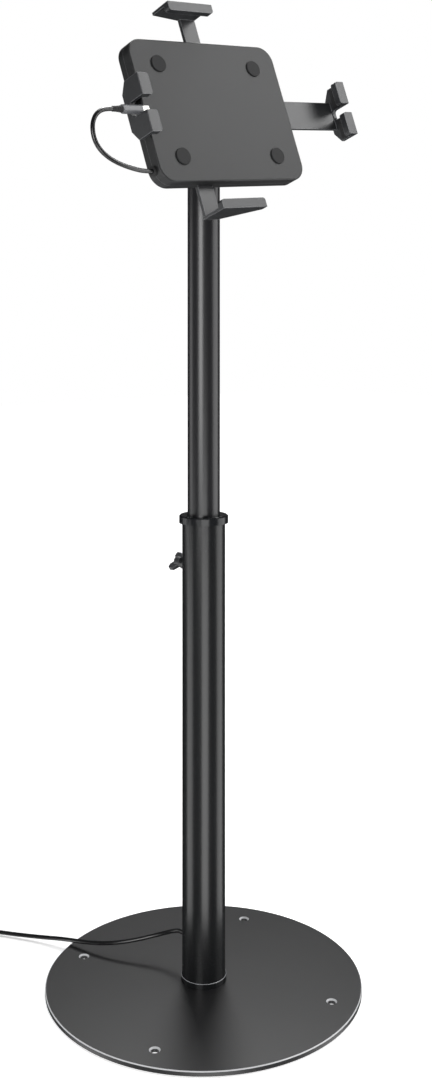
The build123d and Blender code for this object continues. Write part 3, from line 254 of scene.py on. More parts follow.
@dataclass(frozen=True)
class Finish:
    """A real material and what its surface gives the eye.

    Attributes:
        name: the material's name, after the real one.
        made: how its surface was made.
        colour: its main colour, sRGB.
        second: the colour of its fine pattern, sRGB.
        roughness: mean roughness.
        spread: how far the roughness varies either way.
        grain: size of the fine pattern, in millimetres.
        relief: height of that pattern, in millimetres.
        metallic: 1 for bare metal.
        ior: index of refraction, for what isn't metal.
        edge: radius of the rounded edge's shading, which also sets the band of the painted edge
            highlight, in millimetres.
        edge_highlight: colour of the painted highlight along the edges, sRGB; empty for none.
        chamfer_highlight: colour of the painted highlight on the upward-facing chamfers, sRGB; empty
            for none.
        sheen: weight of a fibrous sheen.
    """

    name: str
    made: Surface
    colour: str
    second: str
    roughness: float
    spread: float
    grain: float
    relief: float
    metallic: float = 0.0
    ior: float = 1.5
    edge: float = 0.4
    edge_highlight: str = ""
    chamfer_highlight: str = ""
    sheen: float = 0.0

    def material(self) -> bpy.types.Material:
        """Build the material once, and hand out the same one after that.

        Returns:
            The material.
        """
        made = bpy.data.materials.get(self.name)
        if made:
            return made
        made, tree = empty_material(self.name)
        place = add_node(tree, "ShaderNodeTexCoord").outputs["Object"]
        pattern = self.pattern(tree, place)
        bevel = add_node(tree, "ShaderNodeBevel", {"Radius": self.edge * MM}, samples=4)
        edge = bevel.outputs["Normal"]
        shader = add_node(
            tree,
            "ShaderNodeBsdfPrincipled",
            {
                "Metallic": self.metallic,
                "IOR": self.ior,
                "Sheen Weight": self.sheen,
                "Base Color": self.edged(tree, self.tint(tree, pattern, place), edge),
                "Roughness": self.gloss(tree, pattern),
                "Normal": self.relief_normal(tree, pattern, edge),
            },
        )
        add_node(tree, "ShaderNodeOutputMaterial", {"Surface": shader.outputs["BSDF"]})
        return made

    def tint(
        self, tree: bpy.types.NodeTree, pattern: bpy.types.NodeSocket, place: bpy.types.NodeSocket
    ) -> bpy.types.NodeSocket:
        """Colour that drifts a little over the piece and follows the fine pattern.

        Args:
            tree: the material's tree.
            pattern: the fine pattern, 0 to 1.
            place: where the surface point is.

        Returns:
            The colour socket.
        """
        drift = add_node(
            tree,
            "ShaderNodeTexNoise",
            {"Scale": DRIFT_SCALE, "Detail": DRIFT_DETAIL, "Vector": place},
        )
        both = add_node(
            tree,
            "ShaderNodeMath",
            {0: drift.outputs["Fac"], 1: DRIFT_SHARE, 2: pattern},
            operation="MULTIPLY_ADD",
        )
        share = add_node(
            tree,
            "ShaderNodeMapRange",
            {"Value": both.outputs[0], "From Min": TINT_RANGE[0], "From Max": TINT_RANGE[1]},
        )
        mixed = add_node(
            tree,
            "ShaderNodeMix",
            {0: share.outputs["Result"], 6: srgb(self.colour), 7: srgb(self.second)},
            data_type="RGBA",
        )
        return mixed.outputs[2]

    def edged(
        self, tree: bpy.types.NodeTree, colour: bpy.types.NodeSocket, edge: bpy.types.NodeSocket
    ) -> bpy.types.NodeSocket:
        """Colour with the painted highlights along its edges and on its chamfers.

        Args:
            tree: the material's tree.
            colour: the colour of the flat surface.
            edge: the rounded edge's normal.

        Returns:
            The colour socket.
        """
        facing = add_node(tree, "ShaderNodeNewGeometry").outputs["True Normal"]
        # Painted highlight along the edges, where the rounded normal turns away from the flat one.
        if self.edge_highlight:
            turn = add_node(
                tree, "ShaderNodeVectorMath", {0: facing, 1: edge}, operation="DOT_PRODUCT"
            )
            edge_lit = add_node(
                tree,
                "ShaderNodeMapRange",
                {"Value": turn.outputs["Value"], "From Min": EDGE_HIGHLIGHT_TURN[0], "From Max": EDGE_HIGHLIGHT_TURN[1]},
            )
            colour = add_node(
                tree,
                "ShaderNodeMix",
                {0: edge_lit.outputs["Result"], 6: colour, 7: srgb(self.edge_highlight)},
                data_type="RGBA",
            ).outputs[2]
        # Painted highlight on the chamfers that face up at about 45 degrees.
        if self.chamfer_highlight:
            axes = add_node(tree, "ShaderNodeSeparateXYZ", {0: facing})
            slanted = add_node(
                tree,
                "ShaderNodeMath",
                {0: axes.outputs["Z"], 1: CHAMFER_RISE, 2: CHAMFER_SPREAD},
                operation="COMPARE",
            )
            colour = add_node(
                tree,
                "ShaderNodeMix",
                {0: slanted.outputs[0], 6: colour, 7: srgb(self.chamfer_highlight)},
                data_type="RGBA",
            ).outputs[2]
        return colour

    def gloss(
        self, tree: bpy.types.NodeTree, pattern: bpy.types.NodeSocket
    ) -> bpy.types.NodeSocket:
        """Roughness that varies with the fine pattern.

        Args:
            tree: the material's tree.
            pattern: the fine pattern, 0 to 1.

        Returns:
            The roughness socket.
        """
        varied = add_node(
            tree,
            "ShaderNodeMapRange",
            {
                "Value": pattern,
                "From Min": GLOSS_RANGE[0],
                "From Max": GLOSS_RANGE[1],
                "To Min": self.roughness - self.spread,
                "To Max": self.roughness + self.spread,
            },
        )
        return varied.outputs["Result"]

    def relief_normal(
        self, tree: bpy.types.NodeTree, pattern: bpy.types.NodeSocket, edge: bpy.types.NodeSocket
    ) -> bpy.types.NodeSocket:
        """Normal with the rounded edge and the fine relief on it.

        Args:
            tree: the material's tree.
            pattern: the fine pattern, 0 to 1.
            edge: the rounded edge's normal.

        Returns:
            The normal socket.
        """
        inputs = {"Strength": 1.0, "Distance": self.relief * MM, "Height": pattern, "Normal": edge}
        return add_node(tree, "ShaderNodeBump", inputs).outputs["Normal"]

    def pattern(
        self, tree: bpy.types.NodeTree, place: bpy.types.NodeSocket
    ) -> bpy.types.NodeSocket:
        """The fine pattern of the way the surface was made.

        Args:
            tree: the material's tree.
            place: where the surface point is.

        Returns:
            The pattern, for colour, gloss and relief.
        """
        scale = 1 / (self.grain * MM)
        stretch = {
            Surface.ROLLED: (scale, scale * ROLLED_SHARE, scale),
            Surface.TURNED: (scale * TURNED_SHARE, scale * TURNED_SHARE, scale),
        }.get(self.made, (scale, scale, scale))
        mapping = add_node(tree, "ShaderNodeMapping", {"Scale": stretch, "Vector": place})
        spot = mapping.outputs["Vector"]
        if self.made in (Surface.SPARK_GRAIN, Surface.PLATED):
            inputs = {"Scale": 1.0, "Smoothness": 0.6, "Vector": spot}
            cells = add_node(tree, "ShaderNodeTexVoronoi", inputs, feature="SMOOTH_F1")
            grain = cells.outputs["Distance"]
        elif self.made is Surface.WOVEN:
            inputs = {"Scale": 0.5, "Distortion": 0.6, "Vector": spot}
            across = add_node(tree, "ShaderNodeTexWave", inputs)
            along = add_node(tree, "ShaderNodeTexWave", inputs, bands_direction="Z")
            grain = add_node(
                tree,
                "ShaderNodeMath",
                {0: across.outputs["Fac"], 1: along.outputs["Fac"]},
                operation="MULTIPLY",
            ).outputs[0]
        else:
            detail = 6.0 if self.made is Surface.FELTED else 3.0
            inputs = {"Scale": 1.0, "Detail": detail, "Roughness": 0.55, "Vector": spot}
            grain = add_node(tree, "ShaderNodeTexNoise", inputs).outputs["Fac"]
        return grain


FINISHES: dict[str, Finish] = {
    # Powder coat: a thick satin skin with a faint orange peel about a millimetre across.
    "powder_coated_steel": Finish(
        "satin_powder_coat", Surface.POWDER_COAT, "#161718", "#1a1b1c",
        roughness=0.26, spread=0.015, grain=1.1, relief=0.0018, edge=0.5,
    ),
    # The same coat in a finer powder: a harder, closer skin with brighter light on it.
    "fine_powder_coat": Finish(
        "close_powder_coat", Surface.POWDER_COAT, "#19191b", "#1e1e20",
        roughness=0.29, spread=0.015, grain=0.8, relief=0.0018, ior=1.6, edge=0.4,
    ),
    # Polished ABS: deeper black, sharp light lines along its edges.
    "gloss_black_plastic": Finish(
        "polished_black_abs", Surface.POLISHED_MOULD, "#141517", "#18191b",
        roughness=0.20, spread=0.04, grain=6.0, relief=0.004, edge=0.6,
    ),
    # Moulded rubber: black without gloss, its faint bloom in patches of about a millimetre.
    "black_rubber": Finish(
        "moulded_rubber", Surface.SOFT_MOULD, "#151516", "#1c1c1d",
        roughness=0.72, spread=0.04, grain=0.9, relief=0.004, ior=1.52, edge=0.3,
    ),
    # Glass-filled nylon: dark grey, satin, with a pale painted highlight along its edges. The
    # mould's grain is about 0.2 mm, drawn at 0.8 mm to show.
    "claw_plastic": Finish(
        "moulded_nylon", Surface.SPARK_GRAIN, "#1f2022", "#262729",
        roughness=0.36, spread=0.03, grain=0.8, relief=0.0025, ior=1.56, edge=0.8, edge_highlight="#808184",
    ),
    # ABS housing: as the claws, a little darker, with the same grain and a dimmer painted edge
    # highlight.
    "shell_plastic": Finish(
        "moulded_abs", Surface.SPARK_GRAIN, "#161718", "#1b1c1d",
        roughness=0.47, spread=0.03, grain=0.8, relief=0.0025, edge=0.7, edge_highlight="#5c5d5f",
    ),
    # Zinc plate: pale metal with crystalline flecks of about a millimetre.
    "zinc_steel": Finish(
        "zinc_plated_steel", Surface.PLATED, "#b4b8bd", "#c6c9cc",
        roughness=0.34, spread=0.06, grain=1.2, relief=0.003, metallic=1.0, edge=0.25,
    ),
    # Acetal: milky white with turning lines about 0.2 mm apart, drawn at 0.7 mm to show.
    "guide_plastic": Finish(
        "turned_acetal", Surface.TURNED, "#d9d6cc", "#e3e0d6",
        roughness=0.44, spread=0.04, grain=0.7, relief=0.006, ior=1.48, edge=0.3,
    ),
    # Cast zinc under powder coat: the same satin skin over softer edges.
    "black_cast_metal": Finish(
        "powder_coated_casting", Surface.POWDER_COAT, "#1c1d1f", "#222325",
        roughness=0.38, spread=0.03, grain=1.3, relief=0.004, edge=0.8,
    ),
    # Free-cutting brass: warm yellow, bright on the teeth, with lines about 0.2 mm apart, drawn
    # at 0.8 mm to show.
    "brass_gear": Finish(
        "cut_brass", Surface.TURNED, "#c9a253", "#d8b469",
        roughness=0.30, spread=0.05, grain=0.8, relief=0.003, metallic=1.0, edge=0.15,
    ),
    # Cold-rolled sheet: grey metal with streaks along the strip, about 0.1 mm wide, drawn at
    # 0.5 mm to show.
    "divider_steel": Finish(
        "rolled_steel", Surface.ROLLED, "#a3a7ab", "#b0b4b8",
        roughness=0.36, spread=0.08, grain=0.5, relief=0.002, metallic=1.0, edge=0.2,
    ),
    # Wool felt: dark, soft, with a fibrous sheen; its fibres are drawn at 0.6 mm to show.
    "brake_felt": Finish(
        "pressed_felt", Surface.FELTED, "#242426", "#36363a",
        roughness=0.92, spread=0.04, grain=0.6, relief=0.060, ior=1.45, edge=0.5, sheen=0.4,
    ),
    # Soft thermoplastic jacket: black with a clear highlight along it.
    "cable_jacket": Finish(
        "soft_cable_jacket", Surface.EXTRUDED, "#131314", "#161617",
        roughness=0.24, spread=0.01, grain=8.0, relief=0.0005, ior=1.6, edge=0.2,
    ),
    # Nylon tape: threads about 0.6 mm wide, drawn at 1.2 mm to show.
    "tie_strap": Finish(
        "woven_nylon_tape", Surface.WOVEN, "#1b1b1d", "#2c2c2f",
        roughness=0.70, spread=0.08, grain=1.2, relief=0.080, ior=1.53, edge=0.2, sheen=0.2,
    ),
    # Painted shell of the small plug: mid grey, satin, its fine grain drawn at 0.6 mm to show.
    "plug_plastic": Finish(
        "satin_grey_shell", Surface.SPARK_GRAIN, "#4c4d50", "#545558",
        roughness=0.30, spread=0.02, grain=0.6, relief=0.0015, ior=1.56, edge=0.5,
    ),
    # Black ABS of the far plug: satin, its grain drawn at 0.7 mm to show.
    "wall_end_plastic": Finish(
        "moulded_black_abs", Surface.SPARK_GRAIN, "#1c1d1f", "#232426",
        roughness=0.40, spread=0.03, grain=0.7, relief=0.003, ior=1.54, edge=0.5,
    ),
    # Nickel plate: bright, slightly warm.
    "plug_metal": Finish(
        "nickel_plated_steel", Surface.PLATED, "#c4c3bf", "#d0cfcb",
        roughness=0.22, spread=0.04, grain=0.9, relief=0.002, metallic=1.0, edge=0.15,
    ),
}


# Nodes whose own surface differs from the rest of their slot.
NODE_FINISHES: dict[str, Finish] = {
    # Flat plate: the coat flows out smoother there, and a pale painted highlight lies on its chamfers.
    "base_plate": replace(
        FINISHES["powder_coated_steel"],
        name="satin_coated_plate",
        colour="#1c1c1d",
        second="#212122",
        roughness=0.36,
        chamfer_highlight="#b9babc",
    ),
    # Handled knob: the polish is dulled, and a grey painted highlight runs along its wings' edges.
    "clamp_knob": replace(
        FINISHES["gloss_black_plastic"],
        name="dulled_black_abs_edge_highlight",
        colour="#2c2d2f",
        second="#343537",
        roughness=0.36,
        edge_highlight="#9a9b9e",
    ),
    # Turned trim ring: smoother than the tube, with a pale painted highlight on its chamfer.
    "foot_ring": replace(
        FINISHES["powder_coated_steel"], name="satin_coated_ring", roughness=0.18, chamfer_highlight="#8c8d90"
    ),
}


def dress(piece: bpy.types.Object, slot: str) -> bpy.types.Object:
    """Give a new piece its finish.

    Args:
        piece: the piece.
        slot: the record's material slot that it takes its finish from.

    Returns:
        The same piece.
    """
    piece.data.materials.clear()
    piece.data.materials.append(FINISHES[slot].material())
    return piece


def dress_frame_nodes() -> None:
    """Give every carried-over solid its node's own finish, or else its material slot's."""
    for part in frame["record"]["subparts"]:
        piece = frame["nodes"][part["node"]]
        finish = NODE_FINISHES.get(part["node"], FINISHES[part["material_slot"]]).material()
        piece.data.materials.clear()
        piece.data.materials.append(finish)
        log.info("%s wears %s", part["node"], finish.name)


# Places


def holder_place() -> Matrix:
    """The holder's own frame: X to its right, Y to its back, Z up, from where it holds."""
    hinge = Matrix.Translation((0, 0, HINGE_HEIGHT * MM))
    tilt = Matrix.Rotation(math.radians(HOLDER_TILT), 4, "X")
    spin = Matrix.Rotation(math.radians(HOLDER_SPIN), 4, "Y")
    return hinge @ tilt @ spin @ Matrix.Translation([side * MM for side in HELD_FROM_HINGE])


def cord_curve(name: str, points: list[Vector], diameter: float) -> bpy.types.Curve:
    """A smooth round cord along its route.

    Args:
        name: the curve's name.
        points: the route's points, in metres.
        diameter: the cord's diameter, in metres.

    Returns:
        The curve data.
    """
    curve = bpy.data.curves.new(name, "CURVE")
    curve.dimensions = "3D"
    curve.resolution_u = 8
    curve.bevel_depth = 1.0
    curve.bevel_resolution = 5
    curve.use_fill_caps = True
    spline = curve.splines.new("NURBS")
    spline.points.add(len(points) - 1)
    for spot, point in zip(spline.points, points):
        spot.co = (*point, 1.0)
        spot.radius = diameter / 2
    spline.order_u = 3
    spline.use_endpoint_u = True
    return curve


@dataclass
class TaperedSleeve:
    """Ribbed strain relief round a cord, wider where it meets the plug.

    Attributes:
        length: its length.
        end_radius: radius at the cord's side.
        plug_radius: radius at the plug's side.
        ribs: number of ribs.
        rib_depth: how deep the grooves between them are.
        ribbed: shares of the length between which the ribs lie.
        taper: power of the curve from the cord's side to the plug's.
        rib_steps: rings for each rib.
        sides: points round it.
    """

    length: float
    end_radius: float
    plug_radius: float
    ribs: int = 4
    rib_depth: float = 0.35
    ribbed: tuple[float, float] = (0.08, 0.86)
    taper: float = 1.4
    rib_steps: int = 8
    sides: int = 28

    def mesh(self, name: str) -> bpy.types.Mesh:
        """Build the sleeve along X from the origin.

        Args:
            name: the mesh's name.

        Returns:
            The mesh data.
        """
        steps = self.ribs * self.rib_steps
        rings = []
        for step in range(steps + 1):
            share = step / steps
            radius = self.end_radius + (self.plug_radius - self.end_radius) * share**self.taper
            if self.ribbed[0] < share < self.ribbed[1]:
                radius -= self.rib_depth * (0.5 - 0.5 * math.cos(2 * math.pi * self.ribs * share))
            x = self.length * share
            rings.append([Vector((x, y, z)) * MM for y, z in circle(radius, self.sides)])
        return tidy_mesh(name, skin_rings(rings))


@dataclass
class PlugBody:
    """Small moulded plug body with rounded corners and soft ends.

    Attributes:
        length: its length along X.
        depth: its size along Y.
        height: its size along Z.
        corner: radius of its four long corners.
        end_round: radius at its two ends.
        waist: depth of the grip's shallow hollow.
        least_corner: smallest corner that an inset outline keeps.
        corner_steps: steps round a quarter turn.
        grip_steps: steps along the grip.
    """

    length: float
    depth: float
    height: float
    corner: float
    end_round: float
    waist: float = 0.0
    least_corner: float = 0.3
    corner_steps: int = 6
    grip_steps: int = 12

    def ring(self, x: float, inset: float) -> list[Vector]:
        """One rounded rectangle of the body.

        Args:
            x: where along the body.
            inset: how far the outline is drawn in.

        Returns:
            Its points, in metres.
        """
        half_depth = self.depth / 2 - inset
        half_height = self.height / 2 - inset
        corner = max(self.corner - inset, self.least_corner)
        points = []
        for quarter, (sy, sz) in enumerate(QUARTERS):
            for step in range(self.corner_steps + 1):
                turn = math.pi / 2 * (quarter + step / self.corner_steps)
                y = sy * (half_depth - corner) + corner * math.cos(turn)
                z = sz * (half_height - corner) + corner * math.sin(turn)
                points.append(Vector((x, y, z)) * MM)
        return points

    def mesh(self, name: str) -> bpy.types.Mesh:
        """Build the body along X from the origin.

        Args:
            name: the mesh's name.

        Returns:
            The mesh data.
        """
        turns = [math.pi / 2 * step / self.corner_steps for step in range(self.corner_steps + 1)]
        rings = []
        for turn in turns:
            x = self.end_round * (1 - math.cos(turn))
            rings.append(self.ring(x, self.end_round * (1 - math.sin(turn))))
        for step in range(1, self.grip_steps):
            share = step / self.grip_steps
            x = self.end_round + (self.length - 2 * self.end_round) * share
            rings.append(self.ring(x, self.waist * math.sin(math.pi * share) ** 2))
        for turn in turns:
            x = self.length - self.end_round * (1 - math.sin(turn))
            rings.append(self.ring(x, self.end_round * (1 - math.cos(turn))))
        return tidy_mesh(name, skin_rings(rings))


@dataclass
class ChargeLoop:
    """The lead's loop from the housing's side to the small plug in the left claw's notch.

    Attributes:
        route: the loop's points in the holder's frame.
        diameter: the lead's diameter.
        length: the loop's real length.
        body: the small plug's body.
        relief: the sleeve behind it.
    """

    route: tuple[tuple[float, float, float], ...] = (
        (-136.0, 18.0, -61.6),
        (-146.5, 17.4, -61.6),
        (-158.0, 15.6, -60.2),
        (-170.0, 14.0, -57.6),
        (-181.5, 12.6, -53.8),
        (-191.4, 11.3, -48.6),
        (-199.0, 9.9, -41.8),
        (-203.4, 8.4, -33.2),
        (-204.0, 7.0, -24.0),
        (-202.0, 5.6, -15.0),
        (-196.0, 4.2, -7.0),
        (-186.5, 3.2, -3.0),
        (-177.0, 3.2, -3.0),
    )
    diameter: float = 4.5
    length: float = 125.0
    body: PlugBody = field(
        default_factory=lambda: PlugBody(length=25.0, depth=6.0, height=9.4, corner=2.6, end_round=0.7)
    )
    relief: TaperedSleeve = field(
        default_factory=lambda: TaperedSleeve(length=11.0, end_radius=2.8, plug_radius=3.7)
    )

    def build(self) -> None:
        """Make the loop, its sleeve and its plug, and say what cord it is."""
        place = holder_place()
        points = [place @ (Vector(point) * MM) for point in self.route]
        curve = cord_curve("charge_loop", points, self.diameter * MM)
        loop = add_object("charge_loop", curve, "holder")
        dress(loop, "cable_jacket")
        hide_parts("charge_cable")
        end = Vector(self.route[-1])
        at_end = place @ Matrix.Translation(end * MM)
        sleeve = add_object("plug_sleeve", self.relief.mesh("plug_sleeve"), "holder", at_end)
        dress(sleeve, "black_rubber")
        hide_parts("plug_relief")
        start = end + Vector((self.relief.length, 0, 0))
        at_start = place @ Matrix.Translation(start * MM)
        shell = add_object("plug_shell", self.body.mesh("plug_shell"), "holder", at_start)
        dress(shell, "plug_plastic")
        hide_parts("plug_body")
        log.info("charge loop: %d points, %.0f mm", len(points), self.length)


@dataclass
class FloorLead:
    """The lead from the column's foot over the base to its put-away coil and its far plug.

    Attributes:
        tail: the route's points from the grommet to the coil.
        diameter: the lead's diameter.
        length: its real length out of the column.
        coil_radius: radius of the outer turns.
        pitch: how far a turn moves in or out.
        layer: height of the second layer over the first.
        first_height: height of the first layer's middle.
        turned: degrees that the coil runs through.
        steps: points of the whole coil.
        climb: share of the coil over which it climbs to the second layer.
        end_runs: lengths run on from the coil to the far plug.
        end_heights: heights at those points.
        body: the far plug's body.
        relief: the sleeve before it.
        plug_lift: gap between the far plug and the floor.
        tape_turn: the tape's place round the coil, in degrees.
        tape_room: gap between the tape and the lead.
        tape_low: height of the tape's underside.
        tape_corner: radius of the corners that it goes round.
        tape_steps: steps round each of them.
        tape_half: half of its width.
        tape_wave: how far its edges wave.
        tape_thick: its thickness.
    """

    tail: tuple[tuple[float, float, float], ...] = (
        (0.0, 26.0, 42.0),
        (0.0, 36.5, 42.0),
        (0.8, 48.5, 39.6),
        (-8.8, 66.0, 31.6),
        (-30.4, 85.3, 24.0),
        (-49.3, 106.3, 18.5),
        (-63.1, 133.5, 13.8),
        (-72.3, 162.7, 9.6),
        (-89.0, 196.1, 4.8),
        (-114.1, 234.7, 3.2),
        (-129.5, 260.5, 3.2),
    )
    diameter: float = 4.5
    length: float = 985.0
    coil_radius: float = 29.0
    pitch: float = 5.0
    layer: float = 5.0
    first_height: float = 3.2
    turned: float = 1589.2
    steps: int = 72
    climb: float = 1 / 9
    end_runs: tuple[float, ...] = (10.0, 10.0, 10.0, 10.0, 10.0)
    end_heights: tuple[float, ...] = (8.2, 7.3, 5.6, 4.05, 4.05)
    body: PlugBody = field(
        default_factory=lambda: PlugBody(
            length=24.0, depth=15.5, height=8.0, corner=2.4, end_round=0.8, waist=0.4
        )
    )
    relief: TaperedSleeve = field(
        default_factory=lambda: TaperedSleeve(length=10.0, end_radius=2.7, plug_radius=3.5)
    )
    plug_lift: float = 0.05
    tape_turn: float = 262.0
    tape_room: float = 0.5
    tape_low: float = 0.35
    tape_corner: float = 3.4
    tape_steps: int = 7
    tape_half: float = 4.5
    tape_wave: float = 0.12
    tape_thick: float = 0.65

    def heading(self) -> Vector:
        """Level direction in which the tail runs into the coil."""
        run = Vector(self.tail[-1]) - Vector(self.tail[-2])
        return Vector((run.x, run.y, 0)).normalized()

    def centre(self) -> Vector:
        """Middle of the coil on the floor."""
        heading = self.heading()
        side = Vector((-heading.y, heading.x, 0))
        spot = Vector(self.tail[-1]) + heading * self.diameter + side * self.coil_radius
        return Vector((spot.x, spot.y, 0))

    def first_angle(self) -> float:
        """Direction from the coil's middle to its start, in radians."""
        heading = self.heading()
        return math.atan2(heading.y, heading.x) - math.pi / 2

    def turn_point(self, share: float) -> Vector:
        """A point of the coil's turns.

        Args:
            share: how far through the coil, 0 to 1.

        Returns:
            The point, in millimetres.
        """
        total = math.radians(self.turned)
        run = total * share
        inward = min(run, total - run)
        bow = 1 / math.cos(total / self.steps / 2)
        radius = (self.coil_radius - self.pitch / (2 * math.pi) * inward) * bow
        along = min(max((share - 0.5 + self.climb / 2) / self.climb, 0), 1)
        height = self.first_height + self.layer * (1 - math.cos(math.pi * along)) / 2
        angle = self.first_angle() + run
        return self.centre() + Vector((radius * math.cos(angle), radius * math.sin(angle), height))

    def route(self) -> list[Vector]:
        """All points of the lead's spline, in millimetres."""
        points = [Vector(point) for point in self.tail]
        points += [self.turn_point(step / self.steps) for step in range(self.steps + 1)]
        last = self.turn_end()
        points.append(last)
        for run, height in zip(self.end_runs, self.end_heights):
            last = last + self.way() * run
            points.append(Vector((last.x, last.y, height)))
        return points

    def way(self) -> Vector:
        """Level direction in which the lead leaves the coil."""
        angle = self.first_angle() + math.radians(self.turned)
        return Vector((-math.sin(angle), math.cos(angle), 0))

    def turn_end(self) -> Vector:
        """Where the lead runs straight on out of the coil."""
        angle = self.first_angle() + math.radians(self.turned)
        out = Vector((math.cos(angle), math.sin(angle), 0)) * self.coil_radius
        height = Vector((0, 0, self.first_height + self.layer))
        return self.centre() + out + height + self.way() * self.diameter

    def tie_mesh(self) -> bpy.types.Mesh:
        """Tape round the coil's bundle, its edges a little wavy.

        Returns:
            The mesh data, in the tie's own frame.
        """
        turns = math.radians(self.turned) / (2 * math.pi)
        inner = self.coil_radius - self.pitch * turns / 2 - self.diameter / 2 - self.tape_room
        outer = self.coil_radius + self.diameter / 2 + self.tape_room
        high = self.first_height + self.layer + self.diameter / 2 + self.tape_room
        middle = Vector(((inner + outer) / 2, (self.tape_low + high) / 2))
        half = Vector(((outer - inner) / 2, (high - self.tape_low) / 2))
        corner = min(half.y, self.tape_corner)
        outline = []
        for quarter, (sx, sz) in enumerate(QUARTERS):
            for step in range(self.tape_steps + 1):
                turn = math.pi / 2 * (quarter + step / self.tape_steps)
                x = middle.x + sx * (half.x - corner) + corner * math.cos(turn)
                z = middle.y + sz * (half.y - corner) + corner * math.sin(turn)
                outline.append(Vector((x, z)))
        rings = []
        for index, point in enumerate(outline):
            top = point + (point - middle).normalized() * self.tape_thick
            wide = self.tape_half - self.tape_wave * math.sin(index)
            corners = ((point, -wide), (top, -wide), (top, wide), (point, wide))
            rings.append([Vector((spot.x, y, spot.y)) * MM for spot, y in corners])
        return tidy_mesh("coil_tape", skin_rings(rings, closed=True))

    def far_place(self) -> Matrix:
        """The far plug's frame: X along the lead's way."""
        end = self.route()[-1]
        way = self.way()
        turn = math.atan2(way.y, way.x)
        spot = Vector((end.x, end.y, self.plug_lift + self.body.height / 2)) * MM
        return Matrix.Translation(spot) @ Matrix.Rotation(turn, 4, "Z")

    def build(self) -> None:
        """Make the lead, its tie and its far plug, and say what cord it is."""
        points = [point * MM for point in self.route()]
        curve = cord_curve("floor_lead", points, self.diameter * MM)
        lead = add_object("floor_lead", curve, "base")
        dress(lead, "cable_jacket")
        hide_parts("cable_tail", "cable_coil", "cable_end")
        turn = Matrix.Rotation(math.radians(self.tape_turn), 4, "Z")
        at_tape = Matrix.Translation(self.centre() * MM) @ turn
        tape = add_object("coil_tape", self.tie_mesh(), "base", at_tape)
        dress(tape, "tie_strap")
        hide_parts("coil_tie")
        place = self.far_place()
        sleeve = add_object("far_sleeve", self.relief.mesh("far_sleeve"), "base", place)
        dress(sleeve, "black_rubber")
        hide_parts("wall_end_relief")
        at_shell = place @ Matrix.Translation((self.relief.length * MM, 0, 0))
        shell = add_object("far_plug", self.body.mesh("far_plug"), "base", at_shell)
        dress(shell, "wall_end_plastic")
        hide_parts("wall_end_body")
        log.info("floor lead: %d points, %.0f mm", len(points), self.length)


# Studio


@dataclass(frozen=True)
class Strip:
    """One tall soft light beside the stand.

    Attributes:
        name: the light's name.
        bearing: degrees to the right of the camera's own bearing, seen from the column.
        distance: metres from the column.
        width: its width in metres.
        low: height of its lower edge in metres; it may be under the floor, which gloss doesn't see.
        high: height of its upper edge in metres.
        radiance: how bright its face is, where 1 is white.
    """

    name: str
    bearing: float
    distance: float
    width: float
    low: float
    high: float
    radiance: float


